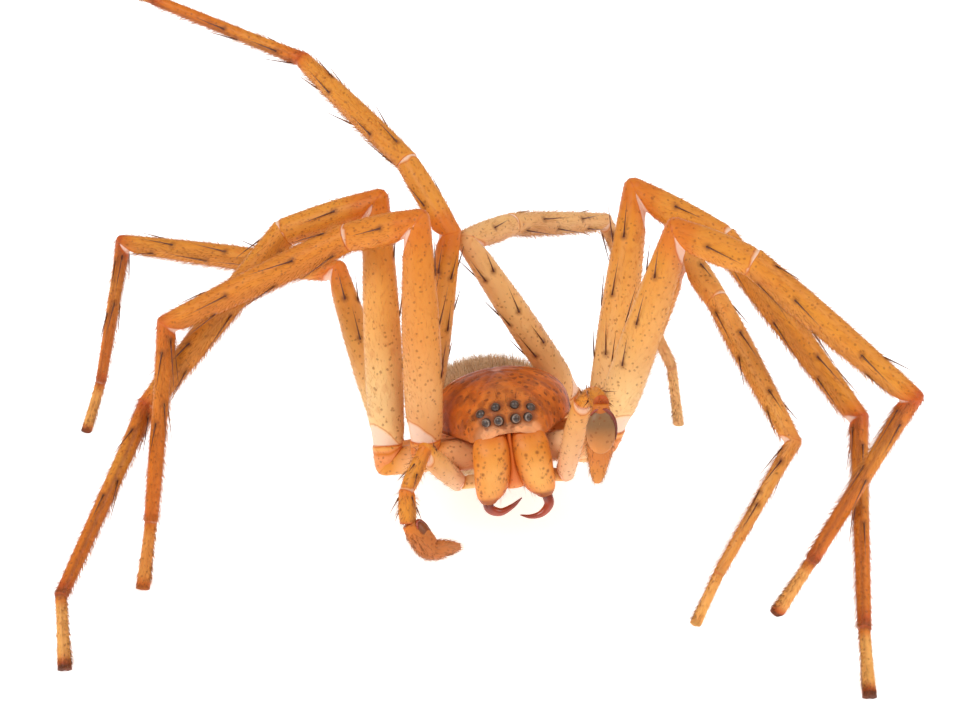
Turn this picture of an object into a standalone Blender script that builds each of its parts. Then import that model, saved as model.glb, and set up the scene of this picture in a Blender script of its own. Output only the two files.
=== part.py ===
"""Huntsman spider at life size: it stands on seven feet with its right hind leg lifted, and faces -Y.

Lengths are named in millimetres and built in metres. +Z is up, and the spider's left side is +X.
"""

import math

import bmesh
import bpy
from mathutils import Matrix, Vector

MM = 0.001

# Stance of the front body, which carries the legs
BODY_HEIGHT = 7.2
BODY_TURN = 5.0
BODY_ROLL = -6.0
BODY_PITCH = -13.0

# Leg lengths, from the first pair to the last: femur, patella, tibia, metatarsus, tarsus
SEGMENTS = ("femur", "patella", "tibia", "metatarsus", "tarsus")
LEG_LENGTHS = {
    1: (10.7, 3.8, 10.0, 9.6, 3.0),
    2: (11.7, 4.8, 10.9, 11.7, 3.4),
    3: (9.4, 3.6, 8.9, 7.4, 2.4),
    4: (10.4, 4.2, 8.7, 8.83, 3.1),
}

# Where each femur starts, then the heading and the rise of its five segments in degrees.
# Heading 0 points along +X and 90 along +Y.
LEG_POSE = {
    ("right", 1): (
        (-3.75, -2.3, 7.3), (99.5, 77), (160, -21), (179.5, -28.5), (-102, -67.5), (-104, -61),
    ),
    ("right", 2): (
        (-5.6, -1.2, 6.4), (96.5, 65.5), (176.5, -21), (-158, -48.2), (-110, -25), (-84, -40),
    ),
    ("right", 3): (
        (-5.5, 1.6, 5.25), (111.2, 36.1), (153, -5.5), (152, -6.5), (-127, -70), (-128, -62.5),
    ),
    ("right", 4): (
        (-3.8, 2.7, 5.9), (-25.5, 82.5), (128.5, 37), (128.5, 16), (150, 8.5), (150, 8.5),
    ),
    ("left", 1): (
        (5.15, -2.6, 8.25), (2.5, 73.5), (-14.5, -17), (-15, -38), (-171, -57), (-171, -59.5),
    ),
    ("left", 2): (
        (4.8, -0.7, 6.85), (73.4, 60.5), (-19.5, -21.5), (-32, -45), (-91, -30.5), (-88.5, -28),
    ),
    ("left", 3): (
        (5.4, 1.3, 6.9), (63, 33.5), (-62, -20), (-64.5, -26.5), (-131, -40.5), (-129, -48),
    ),
    ("left", 4): (
        (3.25, 4.1, 6.35), (-166.7, 60.3), (58.5, -12), (54, -21), (-6, -65), (-6.5, -83),
    ),
}
LIFTED_LEG = ("right", 4)

# Radius of a leg at its joints and in mid-segment, as a share of the femur's full radius
FEMUR_RADIUS = {1: 0.97, 2: 0.95, 3: 0.78, 4: 0.77}
SHAPE = {
    "femur": ((0.0, 0.80), (0.12, 0.94), (0.35, 1.0), (0.65, 0.93), (0.9, 0.78), (1.0, 0.72)),
    "patella": ((0.0, 0.72), (0.35, 0.82), (0.8, 0.79), (1.0, 0.74)),
    "tibia": ((0.0, 0.74), (0.25, 0.78), (0.65, 0.70), (1.0, 0.56)),
    "metatarsus": ((0.0, 0.52), (0.15, 0.46), (0.6, 0.40), (1.0, 0.36)),
    "tarsus": ((0.0, 0.30), (0.25, 0.30), (0.75, 0.34), (1.0, 0.38)),
}
THINNEST = 0.26
TROCHANTER = {1: 0.85, 2: 0.85, 3: 0.85, 4: 1.15}
COXA_INNER_RADIUS = 0.55
COXA_START_Y = {1: -1.6, 2: -0.24, 3: 0.95, 4: 2.15}
COXA_START_Z = -1.3
FOOT_HEIGHT = 0.22
FOOT_PAD = 0.3
JOINT_GAP = 0.03
CORNER = 1.2
LEG_SIDES = 10

# Front body, in its own frame: x to its left, y backwards, z up
# Each station of the shield holds y, its half width and its top
SHIELD = (
    (-3.42, 1.35, 0.62),
    (-3.25, 1.72, 1.05),
    (-2.85, 1.98, 1.50),
    (-2.1, 2.32, 1.84),
    (-1.1, 2.90, 2.10),
    (0.2, 3.32, 2.30),
    (1.4, 3.28, 2.22),
    (2.4, 2.85, 1.85),
    (3.2, 2.10, 1.20),
    (3.75, 1.15, 0.50),
)
SHIELD_BOTTOM = -0.1
SHIELD_ROUNDNESS = 0.75
STERNUM_TOP = -0.16
STERNUM_BOTTOM = -2.2
# y and half width of the plate between the legs
STERNUM = ((-2.1, 0.7), (-1.7, 1.0), (0.0, 1.02), (1.8, 0.98), (2.7, 0.6))

# Jaws: height, centre x, centre y, half width and half depth
JAW = (
    (-0.16, 0.90, -3.05, 0.72, 0.30),
    (-0.5, 0.93, -3.32, 0.88, 0.62),
    (-1.2, 0.94, -3.42, 0.92, 0.76),
    (-2.1, 0.97, -3.38, 0.88, 0.72),
    (-2.75, 1.08, -3.30, 0.75, 0.56),
    (-3.1, 1.22, -3.25, 0.52, 0.38),
)
FANG_RADIUS = 0.26
FANG_TIP_RADIUS = 0.08
# Centre lines of the fangs, with x towards the fang's own side. The right one passes behind the other
FANG_PATH = {
    "left": (
        (1.42, -3.25, -3.15), (1.48, -3.35, -3.62), (1.06, -3.42, -4.02), (0.52, -3.45, -4.08),
        (0.04, -3.45, -3.93),
    ),
    "right": (
        (1.40, -3.2, -3.17), (1.36, -3.24, -3.46), (0.92, -3.18, -3.72), (0.3, -3.1, -3.56),
        (-0.24, -3.1, -3.19),
    ),
}

# Eyes: half the distance between the pair, y, z and radius
EYES = {
    "front_middle": (0.40, -3.36, 0.86, 0.25),
    "front_side": (0.99, -3.18, 0.79, 0.25),
    "rear_side": (1.19, -2.86, 1.13, 0.25),
    "rear_middle": (0.456, -2.95, 1.42, 0.23),
}

# Palps: joints of each in the world, from the mouth to the tip
PALP_PATH = {
    "right": (
        (-2.1, -3.0, 5.25), (-3.79, -5.0, 8.1), (-4.6, -6.3, 6.7), (-4.55, -7.0, 5.3), (-3.4, -7.2, 4.0),
        (-2.05, -7.0, 4.05),
    ),
    "left": (
        (2.95, -3.05, 5.75), (3.74, -4.8, 10.7), (4.2, -6.4, 12.0), (4.55, -7.9, 12.3), (4.5, -8.4, 10.3),
        (4.4, -8.3, 8.3),
    ),
}
PALP_RADIUS = {"femur": 0.54, "patella": 0.42, "tibia": 0.46}
CYMBIUM_RADII = (0.36, 0.55, 0.62, 0.52, 0.3)
# The palp's base plate beside the mouth, in the front body's frame
PALP_BASE_START = (0.62, -2.05, -2.32)
PALP_BASE_RADIUS = 0.35

# Hind body
ABDOMEN_CENTRE = (-0.55, 7.35, 3.15)
ABDOMEN_HALF = (4.25, 4.6, 3.05)
ABDOMEN_PITCH = -9.0
WAIST_START = (0.0, 2.8, -1.0)
WAIST_RADIUS = 0.4
WAIST_LENGTH = 1.0
SPINNERET_LENGTH = 1.0
SPINNERET_RADIUS = 0.3
SPINNERET_SPACING = 0.4

COLOURS = {
    "leg": ((0.74, 0.33, 0.055), 0.45),
    "shield": ((0.58, 0.22, 0.05), 0.4),
    "jaw": ((0.8, 0.38, 0.09), 0.4),
    "fang": ((0.25, 0.05, 0.015), 0.25),
    "eye": ((0.05, 0.04, 0.035), 0.1),
    "palp": ((0.76, 0.42, 0.14), 0.5),
    "underside": ((0.72, 0.48, 0.28), 0.6),
    "abdomen": ((0.5, 0.36, 0.2), 0.8),
}


def clear_scene():
    for obj in list(bpy.data.objects):
        bpy.data.objects.remove(obj, do_unlink=True)


def make_collection():
    collection = bpy.data.collections.new("huntsman_spider")
    bpy.context.scene.collection.children.link(collection)
    return collection


def material(name):
    colour, roughness = COLOURS[name]
    made = bpy.data.materials.get(name) or bpy.data.materials.new(name)
    made.use_nodes = True
    shader = made.node_tree.nodes["Principled BSDF"]
    shader.inputs["Base Color"].default_value = (*colour, 1)
    shader.inputs["Roughness"].default_value = roughness
    shader.inputs["Metallic"].default_value = 0.0
    return made


BODY_FRAME = (
    Matrix.Translation((0, 0, BODY_HEIGHT))
    @ Matrix.Rotation(math.radians(BODY_TURN), 4, "Z")
    @ Matrix.Rotation(math.radians(BODY_PITCH), 4, "X")
    @ Matrix.Rotation(math.radians(BODY_ROLL), 4, "Y")
)


def in_world(x, y, z):
    """A point of the front body's frame, in world millimetres."""
    return BODY_FRAME @ Vector((x, y, z))


def heading(turn, rise):
    turn, rise = math.radians(turn), math.radians(rise)
    return Vector((math.cos(rise) * math.cos(turn), math.cos(rise) * math.sin(turn), math.sin(rise)))


def new_object(name, rings, material_name, place, floor=False):
    """One closed loft through rings of the same number of points. On the floor it is cut flat."""
    origin = sum(rings[0], Vector()) / len(rings[0])
    mesh = bpy.data.meshes.new(name)
    bm = bmesh.new()
    rows = []
    for points in rings:
        row = []
        for point in points:
            height = max(point.z, 0.0) if floor else point.z
            row.append(bm.verts.new((Vector((point.x, point.y, height)) - origin) * MM))
        rows.append(row)
    count = len(rows[0])
    for near, far in zip(rows, rows[1:]):
        for i in range(count):
            j = (i + 1) % count
            bm.faces.new((near[i], near[j], far[j], far[i]))
    bm.faces.new(reversed(rows[0]))
    bm.faces.new(rows[-1])
    bmesh.ops.recalc_face_normals(bm, faces=bm.faces)
    for face in bm.faces:
        face.smooth = len(face.verts) == 4
    bm.to_mesh(mesh)
    bm.free()
    obj = bpy.data.objects.new(name, mesh)
    obj.data.materials.append(material(material_name))
    obj.location = origin * MM
    place["collection"].objects.link(obj)
    obj.parent = place["root"]
    return obj


def ring(centre, across, up, half_width, half_height, sides):
    points = []
    for i in range(sides):
        angle = 2 * math.pi * i / sides
        points.append(centre + across * half_width * math.cos(angle) + up * half_height * math.sin(angle))
    return points


def slide_to_plane(points, along, plane_point, plane_normal):
    """Moves the points along a direction until they lie in a plane."""
    fall = along.dot(plane_normal)
    return [point + along * ((plane_point - point).dot(plane_normal) / fall) for point in points]


def trim_corner(points, centre, inwards, reach):
    """Pulls in the points on the outside of a bend, so that its corner isn't a sharp peak."""
    trimmed = []
    for point in points:
        spoke = point - centre
        if spoke.dot(inwards) < 0 and spoke.length > reach:
            point = centre + spoke.normalized() * reach
        trimmed.append(point)
    return trimmed


def segment(start, end, across, shape, sides, before=None, after=None):
    """Rings of one straight segment. Its ends are mitred towards the directions before and after it."""
    along = (end - start).normalized()
    length = (end - start).length
    side = (across - along * across.dot(along)).normalized()
    up = side.cross(along)
    start_normal = (along + before).normalized() if before else along
    end_normal = (along + after).normalized() if after else along
    lean_start = shape[0][1] * math.tan(math.acos(min(1, along.dot(start_normal)))) + 0.06
    lean_end = shape[-1][1] * math.tan(math.acos(min(1, along.dot(end_normal)))) + 0.06
    rings = []
    for t, radius in shape:
        distance = min(max(t * length, lean_start), length - lean_end)
        if t == 0:
            distance = 0
        if t == 1:
            distance = length
        rings.append(ring(start + along * distance, side, up, radius, radius, sides))
    gap = JOINT_GAP / 2
    rings[0] = slide_to_plane(rings[0], along, start + start_normal * gap, start_normal)
    rings[-1] = slide_to_plane(rings[-1], along, end - end_normal * gap, end_normal)
    if before:
        rings[0] = trim_corner(rings[0], start + start_normal * gap, along - before, shape[0][1] * CORNER)
    if after:
        rings[-1] = trim_corner(rings[-1], end - end_normal * gap, after - along, shape[-1][1] * CORNER)
    return rings


def leg_joints(side, number):
    """Joint positions from the femur's base to the tip. The metatarsus is turned so that the foot lands."""
    base, *angles = LEG_POSE[side, number]
    lengths = LEG_LENGTHS[number]

    def chain(extra):
        joints = [Vector(base)]
        for i, (length, (turn, rise)) in enumerate(zip(lengths, angles)):
            joints.append(joints[-1] + heading(turn, rise + (extra if i == 3 else 0)) * length)
        return joints

    if (side, number) == LIFTED_LEG:
        return chain(0)
    low, high = -9.0, 9.0
    for _ in range(40):
        middle = (low + high) / 2
        if chain(middle)[-1].z > FOOT_HEIGHT:
            high = middle
        else:
            low = middle
    return chain(middle)


def scaled(name, number):
    full = FEMUR_RADIUS[number]
    return [(t, max(share * full, THINNEST)) for t, share in SHAPE[name]]


def make_leg(side, number, place):
    joints = leg_joints(side, number)
    ways = [(b - a).normalized() for a, b in zip(joints, joints[1:])]
    across = ways[0].cross(ways[2]).normalized()
    sign = 1 if side == "left" else -1
    name = f"leg_{number}_{side}"

    inner = in_world(sign * (STERNUM[2][1] + 0.02), COXA_START_Y[number], COXA_START_Z)
    elbow = joints[0] - ways[0] * TROCHANTER[number]
    coxa_way = (elbow - inner).normalized()
    coxa_across = coxa_way.cross(ways[0]).normalized()
    radius = scaled("femur", number)[0][1]
    coxa_shape = [(0, COXA_INNER_RADIUS), (0.45, radius * 0.96), (1, radius * 0.9)]
    outward = (BODY_FRAME.to_3x3() @ Vector((sign, 0, 0))).normalized()
    coxa = segment(inner, elbow, coxa_across, coxa_shape, LEG_SIDES, None, ways[0])
    coxa[0] = slide_to_plane(coxa[0], coxa_way, inner, outward)
    trochanter_shape = [(0, radius * 0.9), (0.6, radius), (1, radius)]
    trochanter = segment(elbow, joints[0], coxa_across, trochanter_shape, LEG_SIDES, coxa_way, None)
    new_object(f"{name}_coxa", coxa[:-1] + trochanter, "leg", place)

    rings = {}
    for i, part in enumerate(SEGMENTS):
        before = ways[i - 1] if i else None
        after = ways[i + 1] if i < 4 else None
        shape = scaled(part, number)
        rings[part] = segment(joints[i], joints[i + 1], across, shape, LEG_SIDES, before, after)
    pad = [point + ways[4] * FOOT_PAD for point in rings["tarsus"][-1]]
    middle = sum(pad, Vector()) / len(pad)
    rings["tarsus"].append([middle + (point - middle) * 0.85 for point in pad])
    landed = (side, number) != LIFTED_LEG
    new_object(f"{name}_femur", rings["femur"], "leg", place)
    new_object(f"{name}_tibia", rings["patella"][:-1] + rings["tibia"], "leg", place)
    new_object(f"{name}_foot", rings["metatarsus"][:-1] + rings["tarsus"], "leg", place, landed)


def make_shield(place):
    rings = []
    for y, half, top in SHIELD:
        points = []
        for i in range(13):
            angle = math.pi * i / 12
            rise = math.sin(angle) ** SHIELD_ROUNDNESS
            points.append(in_world(half * math.cos(angle), y, SHIELD_BOTTOM + (top - SHIELD_BOTTOM) * rise))
        for share in (-0.5, 0.0, 0.5):
            points.append(in_world(half * share, y, SHIELD_BOTTOM))
        rings.append(points)
    shield = new_object("carapace", rings, "shield", place)
    cut_eye_sockets(shield, place)


def cut_eye_sockets(shield, place):
    """Each eye sits in a round hollow a little larger than itself."""
    mesh = bpy.data.meshes.new("eye_sockets")
    bm = bmesh.new()
    for half, y, z, radius in EYES.values():
        for sign in (1, -1):
            at = Matrix.Translation(in_world(sign * half, y, z) * MM)
            size = (radius + JOINT_GAP) * MM
            bmesh.ops.create_uvsphere(bm, u_segments=8, v_segments=6, radius=size, matrix=at)
    bm.to_mesh(mesh)
    bm.free()
    cutter = bpy.data.objects.new("eye_sockets", mesh)
    cutter.hide_render = True
    cutter.display_type = "WIRE"
    cutter.parent = place["root"]
    place["cutters"].objects.link(cutter)
    cut = shield.modifiers.new("eye_sockets", "BOOLEAN")
    cut.operation = "DIFFERENCE"
    cut.solver = "EXACT"
    cut.object = cutter


def make_sternum(place):
    rings = []
    for y, half in STERNUM:
        low, middle = STERNUM_BOTTOM, (STERNUM_BOTTOM + STERNUM_TOP) / 2
        outline = ((-half * 0.7, low), (half * 0.7, low), (half, middle), (half, STERNUM_TOP))
        outline += ((-half, STERNUM_TOP), (-half, middle))
        rings.append([in_world(x, y, z) for x, z in outline])
    new_object("sternum", rings, "underside", place)


def make_jaws(place):
    for side, sign in (("left", 1), ("right", -1)):
        rings = []
        for z, x, y, half_width, half_depth in JAW:
            points = []
            for i in range(12):
                angle = 2 * math.pi * i / 12
                points.append(
                    in_world(sign * (x + half_width * math.cos(angle)), y + half_depth * math.sin(angle), z)
                )
            rings.append(points)
        new_object(f"chelicera_{side}", rings, "jaw", place)
        make_fang(side, sign, place)


def make_fang(side, sign, place):
    """A claw that tapers along its bent path. The two tips pass one in front of the other."""
    path = [in_world(sign * x, y, z) for x, y, z in FANG_PATH[side]]
    forward = (BODY_FRAME.to_3x3() @ Vector((0, 1, 0))).normalized()
    rings = []
    for i, point in enumerate(path):
        way = (path[min(i + 1, 4)] - path[max(i - 1, 0)]).normalized()
        radius = FANG_RADIUS + (FANG_TIP_RADIUS - FANG_RADIUS) * i / 4
        rings.append(ring(point, forward, way.cross(forward).normalized(), radius, radius, 8))
    new_object(f"fang_{side}", rings, "fang", place)


def make_eyes(place):
    for pair, (half, y, z, radius) in EYES.items():
        for side, sign in (("left", 1), ("right", -1)):
            bpy.ops.mesh.primitive_uv_sphere_add(segments=8, ring_count=6, radius=radius * MM)
            eye = bpy.context.active_object
            eye.name = f"eye_{pair}_{side}"
            eye.data.materials.append(material("eye"))
            eye.location = in_world(sign * half, y, z) * MM
            bpy.ops.object.shade_smooth()
            for other in list(eye.users_collection):
                other.objects.unlink(eye)
            place["collection"].objects.link(eye)
            eye.parent = place["root"]


def make_palp(side, place):
    sign = 1 if side == "left" else -1
    joints = [Vector(point) for point in PALP_PATH[side]]
    ways = [(b - a).normalized() for a, b in zip(joints, joints[1:])]
    across = ways[0].cross(ways[2]).normalized()
    x, y, z = PALP_BASE_START
    start = in_world(sign * x, y, z)
    base_way = (joints[0] - start).normalized()
    radius = PALP_BASE_RADIUS
    base_shape = [(0, radius * 0.85), (0.4, radius), (1, radius)]
    base = segment(start, joints[0], across, base_shape, 8, None, ways[0])
    new_object(f"palp_{side}_base", base, "underside", place)

    names = ("femur", "patella", "tibia")
    shells = {}
    for i, part in enumerate(names):
        full = PALP_RADIUS[part]
        shape = [(0, full * 0.84), (0.5, full), (1, full * 0.84)]
        before = ways[i - 1] if i else base_way
        shells[part] = segment(joints[i], joints[i + 1], across, shape, 8, before, ways[i + 1])
    new_object(f"palp_{side}_femur", shells["femur"], "palp", place)
    new_object(f"palp_{side}_tibia", shells["patella"][:-1] + shells["tibia"], "palp", place)

    path = [joints[3] + ways[3] * 0.03, joints[3].lerp(joints[4], 0.45), joints[4]]
    path += [joints[4].lerp(joints[5], 0.5), joints[5]]
    bend = [ways[3], ways[3], (ways[3] + ways[4]).normalized(), ways[4], ways[4]]
    rings = []
    for point, way, radius in zip(path, bend, CYMBIUM_RADII):
        side_way = (across - way * across.dot(way)).normalized()
        rings.append(ring(point, side_way, side_way.cross(way), radius, radius * 0.9, 10))
    seam = (ways[2] + ways[3]).normalized()
    rings[0] = slide_to_plane(rings[0], ways[3], joints[3] + seam * JOINT_GAP / 2, seam)
    new_object(f"palp_{side}_bulb", rings, "palp", place)


def make_hind_body(place):
    frame = Matrix.Translation(ABDOMEN_CENTRE) @ Matrix.Rotation(math.radians(ABDOMEN_PITCH), 4, "X")
    half_x, half_y, half_z = ABDOMEN_HALF
    rings = []
    for i in range(1, 13):
        angle = math.pi * i / 13
        share = math.sin(angle) ** 0.85
        y = -half_y * math.cos(angle)
        belly = 0.92
        points = []
        for j in range(16):
            turn = 2 * math.pi * j / 16
            z = half_z * share * math.sin(turn)
            points.append(frame @ Vector((half_x * share * math.cos(turn), y, z if z > 0 else z * belly)))
        rings.append(points)
    new_object("abdomen", rings, "abdomen", place)

    start = in_world(*WAIST_START)
    way = (frame @ Vector((0.3, -half_y * 0.62, half_z * 0.55)) - start).normalized()
    across = way.cross(Vector((0, 0, 1))).normalized()
    waist = segment(start, start + way * WAIST_LENGTH, across, [(0, WAIST_RADIUS), (1, WAIST_RADIUS)], 8)
    new_object("waist", waist, "underside", place)

    for side, sign in (("left", 1), ("right", -1)):
        root = frame @ Vector((sign * SPINNERET_SPACING, half_y + 0.02, 0))
        tip = frame @ Vector((sign * SPINNERET_SPACING * 1.2, half_y + SPINNERET_LENGTH, 0.1))
        shape = [(0, SPINNERET_RADIUS), (0.7, SPINNERET_RADIUS * 0.9), (1, SPINNERET_RADIUS * 0.5)]
        new_object(f"spinneret_{side}", segment(root, tip, Vector((1, 0, 0)), shape, 8), "underside", place)


def centre_on_floor(place):
    """Moves the spider so that the middle of its bounding box stands over the origin."""
    bpy.context.view_layer.update()
    pieces = [obj for obj in place["collection"].objects if obj.type == "MESH"]
    points = [obj.matrix_world @ vertex.co for obj in pieces for vertex in obj.data.vertices]
    middle_x = (min(p.x for p in points) + max(p.x for p in points)) / 2
    middle_y = (min(p.y for p in points) + max(p.y for p in points)) / 2
    place["root"].location = (-middle_x, -middle_y, 0)


def main():
    clear_scene()
    collection = make_collection()
    root = bpy.data.objects.new("spider_place", None)
    collection.objects.link(root)
    cutters = bpy.data.collections.new("cutters")
    bpy.context.scene.collection.children.link(cutters)
    place = {"collection": collection, "cutters": cutters, "root": root}
    make_shield(place)
    make_sternum(place)
    make_jaws(place)
    make_eyes(place)
    for side in ("left", "right"):
        make_palp(side, place)
        for number in (1, 2, 3, 4):
            make_leg(side, number, place)
    make_hind_body(place)
    centre_on_floor(place)


main()
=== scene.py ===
# %% [markdown]
# # Huntsman spider
# A grown male huntsman stands on seven feet and lifts its right hind leg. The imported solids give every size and
# place, and this file gives the animal its skin, eyes, spines and hairs. The order is light and camera, then the
# shader groups, then limbs, head, palps, underside and hind body.
#
# A spider has no fur coat like a mammal: most of it is bare shell, with soft pale skin only where it bends. So the
# shell is modelled as smooth skins with fine marks, and the hairs are thin separate meshes that stand on them.

# %% Load the frame
import math

import bmesh
import bpy
import numpy as np
from mathutils import Matrix, Vector


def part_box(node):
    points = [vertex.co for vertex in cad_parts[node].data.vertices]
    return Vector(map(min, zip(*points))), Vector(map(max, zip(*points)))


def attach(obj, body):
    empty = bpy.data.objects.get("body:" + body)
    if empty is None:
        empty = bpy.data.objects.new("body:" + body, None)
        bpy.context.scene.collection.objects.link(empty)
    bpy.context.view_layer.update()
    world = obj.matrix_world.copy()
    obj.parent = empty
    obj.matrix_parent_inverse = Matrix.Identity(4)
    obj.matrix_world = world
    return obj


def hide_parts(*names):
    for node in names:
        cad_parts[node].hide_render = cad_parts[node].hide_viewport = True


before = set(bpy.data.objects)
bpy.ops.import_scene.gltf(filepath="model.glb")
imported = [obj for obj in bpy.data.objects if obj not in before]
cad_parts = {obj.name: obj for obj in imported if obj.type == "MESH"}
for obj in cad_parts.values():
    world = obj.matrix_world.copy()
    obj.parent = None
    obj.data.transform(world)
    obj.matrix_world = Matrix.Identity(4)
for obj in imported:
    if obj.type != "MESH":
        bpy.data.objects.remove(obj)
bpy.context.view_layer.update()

MM = 0.001

# %% [markdown]
# ## Where the front body stands
# The front body is turned, pitched and rolled a little, and all of its pieces are described in its own frame: x to
# the spider's left, y backwards and z up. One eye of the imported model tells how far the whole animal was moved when
# it was centred, so the same numbers land in the same places here.

# %% The front body's frame
BODY_HEIGHT = 7.2
BODY_TURN = 5.0
BODY_ROLL = -6.0
BODY_PITCH = -13.0
FRONT_MIDDLE_EYE = (0.40, -3.36, 0.86)

BODY = (
    Matrix.Translation((0, 0, BODY_HEIGHT))
    @ Matrix.Rotation(math.radians(BODY_TURN), 4, "Z")
    @ Matrix.Rotation(math.radians(BODY_PITCH), 4, "X")
    @ Matrix.Rotation(math.radians(BODY_ROLL), 4, "Y")
)
eye_low, eye_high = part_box("eye_front_middle_left")
SHIFT = (eye_low + eye_high) / 2 / MM - BODY @ Vector(FRONT_MIDDLE_EYE)
BODY = Matrix.Translation(SHIFT) @ BODY
print("The model was moved by", [round(v, 2) for v in SHIFT], "mm")


def in_body(x, y, z):
    """A point of the front body's frame, in millimetres of the model."""
    return np.array(BODY @ Vector((x, y, z)))


def in_frame(points):
    """An array of points of the front body's frame, in millimetres of the model."""
    return points @ np.array(BODY.to_3x3()).T + np.array(BODY.translation)


def body_way(x, y, z):
    """A direction of the front body's frame."""
    return np.array(BODY.to_3x3() @ Vector((x, y, z)))


def unit(vector):
    vector = np.asarray(vector, float)
    return vector / np.linalg.norm(vector, axis=-1, keepdims=True)


# %% [markdown]
# ## Camera
# The animal was seen through a long lens from about a quarter of a metre away, 28 degrees above the level. A long
# lens keeps near and far legs at nearly one scale. The focal length in millimetres is the focal length in pixels
# divided by the picture's width in pixels, times the sensor's width.

# %% Camera
CAMERA_AT = (-1.0, -219.46, 126.97)
CAMERA_DOWN = 28.0
FOCAL_PIXELS = 5150
PICTURE_WIDTH = 965
SENSOR = 36.0

camera_data = bpy.data.cameras.new("camera")
camera_data.sensor_width = SENSOR
camera_data.sensor_fit = "HORIZONTAL"
camera_data.lens = FOCAL_PIXELS / PICTURE_WIDTH * SENSOR
camera_data.clip_start = 0.01
camera = bpy.data.objects.new("camera", camera_data)
bpy.context.scene.collection.objects.link(camera)
camera.location = (Vector(CAMERA_AT) + SHIFT) * MM
camera.rotation_euler = (math.radians(90 - CAMERA_DOWN), 0, 0)
bpy.context.scene.camera = camera
print("Lens:", round(camera_data.lens, 1), "mm")

# %% [markdown]
# ## Light and floor
# The animal stood on plain white, lit from all around, so it casts hardly a shadow. An even pale sky does most of
# that. Two large soft lamps above add the gentle gloss on the shell, and a plain view transform keeps the colours as
# they are named here.

# %% Light and floor
SKY_STRENGTH = 0.50
SKY_COLOUR = (1.0, 0.995, 0.99, 1)
FLOOR_SIZE = 3.0
FLOOR_GLOW = 0.6
LAMPS = (
    # name, place in metres, size in metres, power in watts
    ("lamp_left", (-0.35, -0.30, 0.55), 0.36, 2.0),
    ("lamp_right", (0.40, -0.10, 0.50), 0.36, 1.2),
)

world = bpy.data.worlds.new("studio")
world.use_nodes = True
world.node_tree.nodes["Background"].inputs["Color"].default_value = SKY_COLOUR
world.node_tree.nodes["Background"].inputs["Strength"].default_value = SKY_STRENGTH
bpy.context.scene.world = world
bpy.context.scene.view_settings.view_transform = "Standard"

for name, place, size, power in LAMPS:
    lamp = bpy.data.lights.new(name, "AREA")
    lamp.size = size
    lamp.energy = power
    lamp_object = bpy.data.objects.new(name, lamp)
    lamp_object.location = place
    lamp_object.rotation_euler = (-Vector(place)).to_track_quat("-Z", "Y").to_euler()
    bpy.context.scene.collection.objects.link(lamp_object)

floor_mesh = bpy.data.meshes.new("floor")
half = FLOOR_SIZE / 2
floor_mesh.from_pydata(
    [(-half, -half, 0), (half, -half, 0), (half, half, 0), (-half, half, 0)], [], [(0, 1, 2, 3)]
)
floor = bpy.data.objects.new("floor", floor_mesh)
bpy.context.scene.collection.objects.link(floor)

# %% [markdown]
# ## Colours
# Colours are named as they look on a screen, from 0 to 255, and turned into the linear values that shaders need.
# The shell runs from cream near the body through amber to brown at the feet. The skin in the joints is a pinkish
# white.

# %% Colours


def seen(red, green, blue):
    """A screen colour as linear values."""
    values = np.array((red, green, blue)) / 255
    return np.where(values <= 0.04045, values / 12.92, ((values + 0.055) / 1.055) ** 2.4)


CREAM = seen(248, 204, 138)
PALE_AMBER = seen(244, 178, 92)
AMBER = seen(228, 148, 50)
ORANGE = seen(220, 122, 30)
RUST = seen(198, 88, 24)
BROWN = seen(134, 66, 26)
DARK_BROWN = seen(84, 42, 20)
JOINT_PINK = seen(246, 214, 194)
FLESH = seen(242, 156, 96)
WHITISH = seen(250, 220, 176)

# %% [markdown]
# ## Shader groups
# Three effects come back in many of the finishes, so each is a node group of its own. "Flecks" scatters small dark
# spots, by cutting a solid pattern of cells with the surface. The place that it reads is first moved about by a
# little noise, so that no spot is round. "Patches" gives slow changes from light to dark. "Grain" is the height of
# the fine dimples that give the shell its soft gloss. All three read the object's own coordinates, which don't
# slide when the camera moves.

# %% Node helpers


def add(tree, kind, links=None, **settings):
    """One node, with its settings, and with values or other sockets given for its inputs."""
    node = tree.nodes.new(kind)
    for key, value in settings.items():
        setattr(node, key, value)
    for key, value in (links or {}).items():
        if isinstance(value, bpy.types.NodeSocket):
            tree.links.new(value, node.inputs[key])
        else:
            node.inputs[key].default_value = value
    return node


def math_node(tree, operation, first, second=0.0, clamp=False):
    return add(tree, "ShaderNodeMath", {0: first, 1: second}, operation=operation, use_clamp=clamp).outputs[0]


def times(tree, first, second):
    return math_node(tree, "MULTIPLY", first, second)


def vector_node(tree, operation, first, second=None, scale=None):
    given = {0: first, 1: second, "Scale": scale}
    links = {key: value for key, value in given.items() if value is not None}
    node = add(tree, "ShaderNodeVectorMath", links, operation=operation)
    return node.outputs["Value" if operation == "DOT_PRODUCT" else "Vector"]


def fade(tree, value, full, none):
    """1 where the value is at the first bound, 0 at the second, and a soft step between."""
    links = {"Value": value, "From Min": full, "From Max": none, "To Min": 1.0, "To Max": 0.0}
    return add(tree, "ShaderNodeMapRange", links, interpolation_type="SMOOTHSTEP").outputs["Result"]


def noise(tree, place, scale, detail):
    return add(tree, "ShaderNodeTexNoise", {"Vector": place, "Scale": scale, "Detail": detail}).outputs


def cells(tree, place, scale):
    """The distance to the middle of the nearest cell."""
    return add(tree, "ShaderNodeTexVoronoi", {"Vector": place, "Scale": scale}).outputs["Distance"]


# %% Shader groups
FLECK_WARP = 0.45
FLECK_WARP_SCALE = 1.6
FLECK_SOFTNESS = 1.7
CROWD_SCALE = 0.22
CROWD_SOFTNESS = 0.12


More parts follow.
